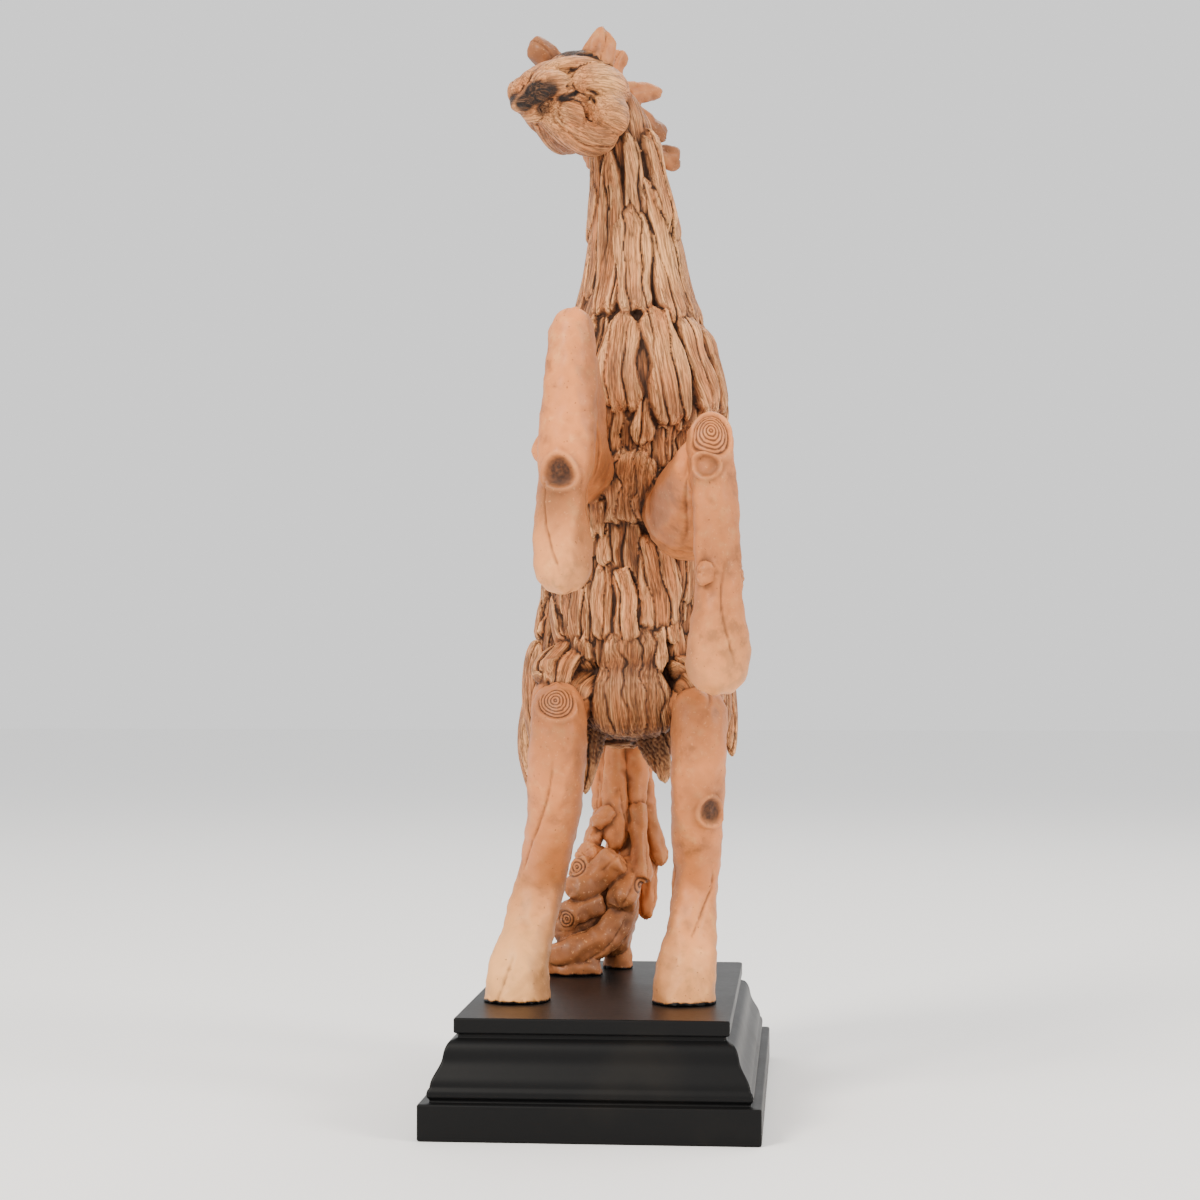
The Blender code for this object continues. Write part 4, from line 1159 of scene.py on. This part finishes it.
class Wire:
    # wraps a shader socket, so that sums of values write their own nodes
    def __init__(self, maker, socket):
        self.maker, self.socket = maker, socket

    def join(self, operation, *others):
        return self.maker.node("ShaderNodeMath", {"operation": operation}, self, *others)[0]

    def __add__(self, other):
        return self.join("ADD", other)

    def __radd__(self, other):
        return self.join("ADD", other)

    def __sub__(self, other):
        return self.join("SUBTRACT", other)

    def __rsub__(self, other):
        return self.maker.node("ShaderNodeMath", {"operation": "SUBTRACT"}, other, self)[0]

    def __mul__(self, other):
        return self.join("MULTIPLY", other)

    def __rmul__(self, other):
        return self.join("MULTIPLY", other)

    def __abs__(self):
        return self.join("ABSOLUTE")

    def most(self, other):
        return self.join("MAXIMUM", other)

    def clamp(self):
        return self.maker.node("ShaderNodeClamp", {}, self)[0]

    def over(self, low, high):
        smooth = {"interpolation_type": "SMOOTHSTEP"}
        return self.maker.node("ShaderNodeMapRange", smooth, self, low, high, 0.0, 1.0)[0]


class Finish:
    def __init__(self, name, roughness, shine=0.5):
        self.material = bpy.data.materials.new(name)
        self.material.use_nodes = True
        self.tree = self.material.node_tree
        self.shader = self.tree.nodes["Principled BSDF"]
        self.shader.inputs["Roughness"].default_value = roughness
        self.shader.inputs["Specular IOR Level"].default_value = shine

    def node(self, kind, settings, *values, **named):
        made = self.tree.nodes.new(kind)
        for key, value in settings.items():
            setattr(made, key, value)
        slots = [s for s in made.inputs if s.enabled]
        byName = {s.name: s for s in slots}
        for slot, value in [*zip(slots, values), *((byName[k], v) for k, v in named.items())]:
            if isinstance(value, Wire):
                self.tree.links.new(value.socket, slot)
            elif value is not None:
                slot.default_value = value
        return [Wire(self, s) for s in made.outputs if s.enabled]

    def attribute(self, name):
        return self.node("ShaderNodeAttribute", {"attribute_name": name})[2]

    def vectorAttribute(self, name):
        return self.node("ShaderNodeAttribute", {"attribute_name": name})[1]

    def place(self):
        return next(w for w in self.node("ShaderNodeTexCoord", {}) if w.socket.name == "Object")

    def stretched(self, vector, scale):
        return self.node("ShaderNodeVectorMath", {"operation": "MULTIPLY"}, vector, scale)[0]

    def noise(self, vector, scale, detail, roughness):
        values = {"Vector": vector, "Scale": scale, "Detail": detail, "Roughness": roughness}
        return self.node("ShaderNodeTexNoise", {}, **values)[0]

    def layered(self, colour, *coats):
        # coats of paint one over another: how much of each, and its colour
        for share, coat in coats:
            colour = self.node("ShaderNodeMix", {"data_type": "RGBA"}, share, colour, coat)[0]
        return colour

    def bumpy(self, strength, distance, height):
        made = self.node("ShaderNodeBump", {}, Strength=strength, Distance=distance, Height=height)
        self.feed("Normal", made[0])

    def feed(self, name, wire):
        self.tree.links.new(wire.socket, self.shader.inputs[name])


driftwood = {
    "peach": (0.72, 0.232, 0.066, 1.0),
    "cream": (0.94, 0.46, 0.165, 1.0),
    "tan": (0.47, 0.16, 0.05, 1.0),
    "umber": (0.13, 0.046, 0.018, 1.0),
    "washAndShadeBrown": (0.036, 0.014, 0.0065, 1.0),
    "char": (0.013, 0.008, 0.0065, 1.0),
    "highlight": (0.93, 0.47, 0.2, 1.0),
    "roughness": 0.42,
    "shine": 0.22,
    "bump": (0.8, 0.0006),
    # how often each grain repeats across, out of and along a piece, per millimetre
    "broad": (0.42, 0.42, 0.022),
    "streaks": (0.9, 0.9, 0.05),
    "threads": (3.0, 3.0, 0.13),
    # how far the plinth's paint runs up the feet, and the width of its edge
    "creep": 0.0034,
    "edge": 0.0008,
}


def driftwoodFinish():
    wood = driftwood
    finish = Finish("driftwood painted resin", wood["roughness"], wood["shine"])
    grain = finish.vectorAttribute("grain")
    wooden, tone, ridge, hollowWashAndShade = (finish.attribute(n) for n in ("wooden", "tone", "ridge", "hollowWashAndShade"))
    pale, shade, soot, grit = (finish.attribute(n) for n in ("pale", "shade", "soot", "grit"))
    knot, hollow, turn, side = (finish.attribute(n) for n in ("knot", "hollow", "turn", "side"))
    place = finish.place()

    broad = finish.noise(finish.stretched(grain, wood["broad"]), 1.0, 3.0, 0.55)
    streaks = finish.noise(finish.stretched(grain, wood["streaks"]), 1.0, 4.0, 0.6)
    threads = finish.noise(finish.stretched(grain, wood["threads"]), 1.0, 3.0, 0.6)
    clouds = finish.noise(place, 42.0, 3.0, 0.5)
    mottle = finish.noise(place, 160.0, 4.0, 0.6)
    specks = finish.noise(place, 900.0, 2.0, 0.5)
    # splits and hairline cracks along the grain; their dark fill is brown wash and painted shade that the
    # bump can't cast
    splits = 1 - abs(broad - 0.5).over(0.0, 0.035)
    hairs = 1 - abs(streaks - 0.5).over(0.0, 0.04)
    cracks = (splits * 0.9).most(hairs * 0.55) * wooden

    # the smooth bleached branches
    smooth = finish.layered(
        wood["peach"],
        (clouds.over(0.35, 0.7) * 0.6, wood["tan"]),
        (mottle.over(0.5, 0.8) * 0.5, wood["cream"]),
        (mottle.over(0.52, 0.36) * clouds.over(0.4, 0.6) * 0.5, wood["umber"]),
        ((pale * 0.8).clamp(), wood["cream"]),
        # the shade mask's brown, partly painted shade on the legs
        ((shade * (0.45 + mottle * 0.8)).clamp(), wood["umber"]),
        (specks.over(0.62, 0.72) * shade * 0.3, wood["highlight"]),
    )

    # the split planks
    plank = finish.layered(
        wood["umber"],
        ((streaks + tone * 0.3 - 0.15).over(0.32, 0.6), wood["tan"]),
        ((threads.over(0.42, 0.68) * (0.3 + tone)).clamp(), wood["peach"]),
        (clouds.over(0.5, 0.7) * 0.55, wood["umber"]),
        (clouds.over(0.48, 0.3) * threads.over(0.45, 0.6) * 0.7, wood["highlight"]),
        ((shade * 0.55).clamp(), wood["umber"]),
        # cream on the hooves and face, and painted highlight on the neck's right and the chest
        ((pale * (threads + 0.3)).clamp(), wood["cream"]),
    )

    brushed = ridge * (0.14 + wooden * 1.0) * (0.45 + threads) * (1 - shade * 0.5)
    rings = finish.node("ShaderNodeMath", {"operation": "COSINE"}, turn * 6.283)[0] * 0.5 + 0.5
    sooty = soot.over(0.15, 0.75) * (0.55 + streaks * 0.8)
    pits = specks.over(0.3, 0.24)
    # the plinth's black paint runs up a little where the feet stand in it
    above = finish.node("ShaderNodeSeparateXYZ", {}, place)[2] - plinthTop - mottle * wood["creep"]
    body = finish.layered(
        smooth,
        (wooden, plank),
        (brushed.clamp(), wood["highlight"]),
        # brown wash and painted shade in the cracks
        ((cracks * 0.75).clamp(), wood["washAndShadeBrown"]),
        # painted shade on the planks' flanks
        ((side * 0.6).clamp(), wood["umber"]),
        # brown wash and painted shade in the hollows
        ((hollowWashAndShade * (0.7 + wooden * 0.6)).clamp(), wood["washAndShadeBrown"]),
        ((knot * (1 - rings.over(0.2, 0.75))).clamp() * 0.7, wood["washAndShadeBrown"]),
        ((knot * rings).clamp() * 0.45, wood["tan"]),
        ((hollow * (0.6 + specks * 0.6)).clamp(), wood["washAndShadeBrown"]),
        ((grit * 0.7).clamp(), wood["washAndShadeBrown"]),
        (sooty.clamp(), wood["char"]),
        (pits * 0.6 * (1 - wooden), wood["washAndShadeBrown"]),
        (1 - above.over(-wood["edge"], 0.0), blackPaint["paint"]),
    )
    finish.feed("Base Color", body)
    finish.feed("Roughness", (0.38 + mottle * 0.16 + hollowWashAndShade * 0.25 - ridge * 0.06).clamp())

    height = (threads - 0.5) * wooden * 0.8 + (streaks - 0.5) * wooden * 0.5 - cracks * 0.8
    height = height + (mottle - 0.5) * 0.2 - pits * 0.3 + (specks - 0.5) * 0.05
    finish.bumpy(*wood["bump"], height)
    return finish.material


blackPaint = {
    "paint": (0.005, 0.005, 0.0052, 1.0),
    "worn": (0.013, 0.011, 0.009, 1.0),
    "roughness": 0.34,
    "shine": 0.11,
    "bump": (0.25, 0.0004),
    "brushing": (12.0, 140.0, 60.0),
}


def blackFinish():
    finish = Finish("black satin paint", blackPaint["roughness"], blackPaint["shine"])
    place = finish.place()
    clouds = finish.noise(place, 30.0, 3.0, 0.5)
    specks = finish.noise(place, 420.0, 3.0, 0.6)
    brushed = finish.noise(finish.stretched(place, blackPaint["brushing"]), 1.0, 3.0, 0.5)
    rubbed = (clouds.over(0.5, 0.8) * 0.5, specks.over(0.7, 0.78) * 0.4)
    finish.feed("Base Color", finish.layered(blackPaint["paint"], *((r, blackPaint["worn"]) for r in rubbed)))
    finish.feed("Roughness", 0.3 + clouds * 0.12 + specks * 0.08)
    finish.bumpy(*blackPaint["bump"], clouds * 0.8 + brushed * 0.3 + specks * 0.15)
    return finish.material


driftwoodHorse.data.materials.append(driftwoodFinish())
blackPlinth.data.materials.append(blackFinish())
print("finishes made")

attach(driftwoodHorse, "root")
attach(blackPlinth, "root")
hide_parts("horse")
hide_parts("plinth")

studio = {
    "floor": (0.94, 0.94, 0.935, 1.0),
    "world": 1.15,
    "warmth": (1.0, 0.93, 0.84),
    # place, size, strength and what it looks at
    "lamps": (
        ((-0.8, -1.15, 1.2), 0.5, 33.0, (0, 0, 0.24)),
        ((1.3, -0.6, 0.9), 0.5, 17.0, (0, 0, 0.2)),
        ((0.3, 1.0, 1.4), 0.9, 10.0, (0, 0, 0.25)),
    ),
}


def buildStudio():
    bm = bmesh.new()
    bmesh.ops.create_grid(bm, x_segments=1, y_segments=1, size=6)
    mesh = bpy.data.meshes.new("studioFloor")
    bm.to_mesh(mesh)
    bm.free()
    floor = meshObject("studioFloor", mesh)
    paint = Finish("pale floor", 0.9)
    paint.shader.inputs["Base Color"].default_value = studio["floor"]
    floor.data.materials.append(paint.material)
    world = bpy.data.worlds.new("studio")
    world.use_nodes = True
    backdrop = world.node_tree.nodes["Background"]
    backdrop.inputs["Color"].default_value = (1, 1, 1, 1)
    backdrop.inputs["Strength"].default_value = studio["world"]
    bpy.context.scene.world = world
    for number, (place, size, strength, target) in enumerate(studio["lamps"]):
        light = bpy.data.lights.new(f"softbox{number}", "AREA")
        light.size, light.energy = size, strength
        light.color = studio["warmth"]
        lamp = bpy.data.objects.new(light.name, light)
        lamp.location = place
        lamp.rotation_euler = (Vector(target) - Vector(place)).to_track_quat("-Z", "Y").to_euler()
        bpy.context.scene.collection.objects.link(lamp)


view = {"place": (0.0774, -0.9678, 0.1705), "tilt": 91.7, "turn": 4.82, "lens": 72.0, "sensor": 36.0}
buildStudio()
camera = bpy.data.objects.new("camera", bpy.data.cameras.new("camera"))
camera.data.lens = view["lens"]
camera.data.sensor_width = view["sensor"]
camera.data.clip_start = 0.01
camera.location = view["place"]
camera.rotation_euler = (math.radians(view["tilt"]), 0, math.radians(view["turn"]))
bpy.context.scene.collection.objects.link(camera)
bpy.context.scene.camera = camera
print("studio ready")
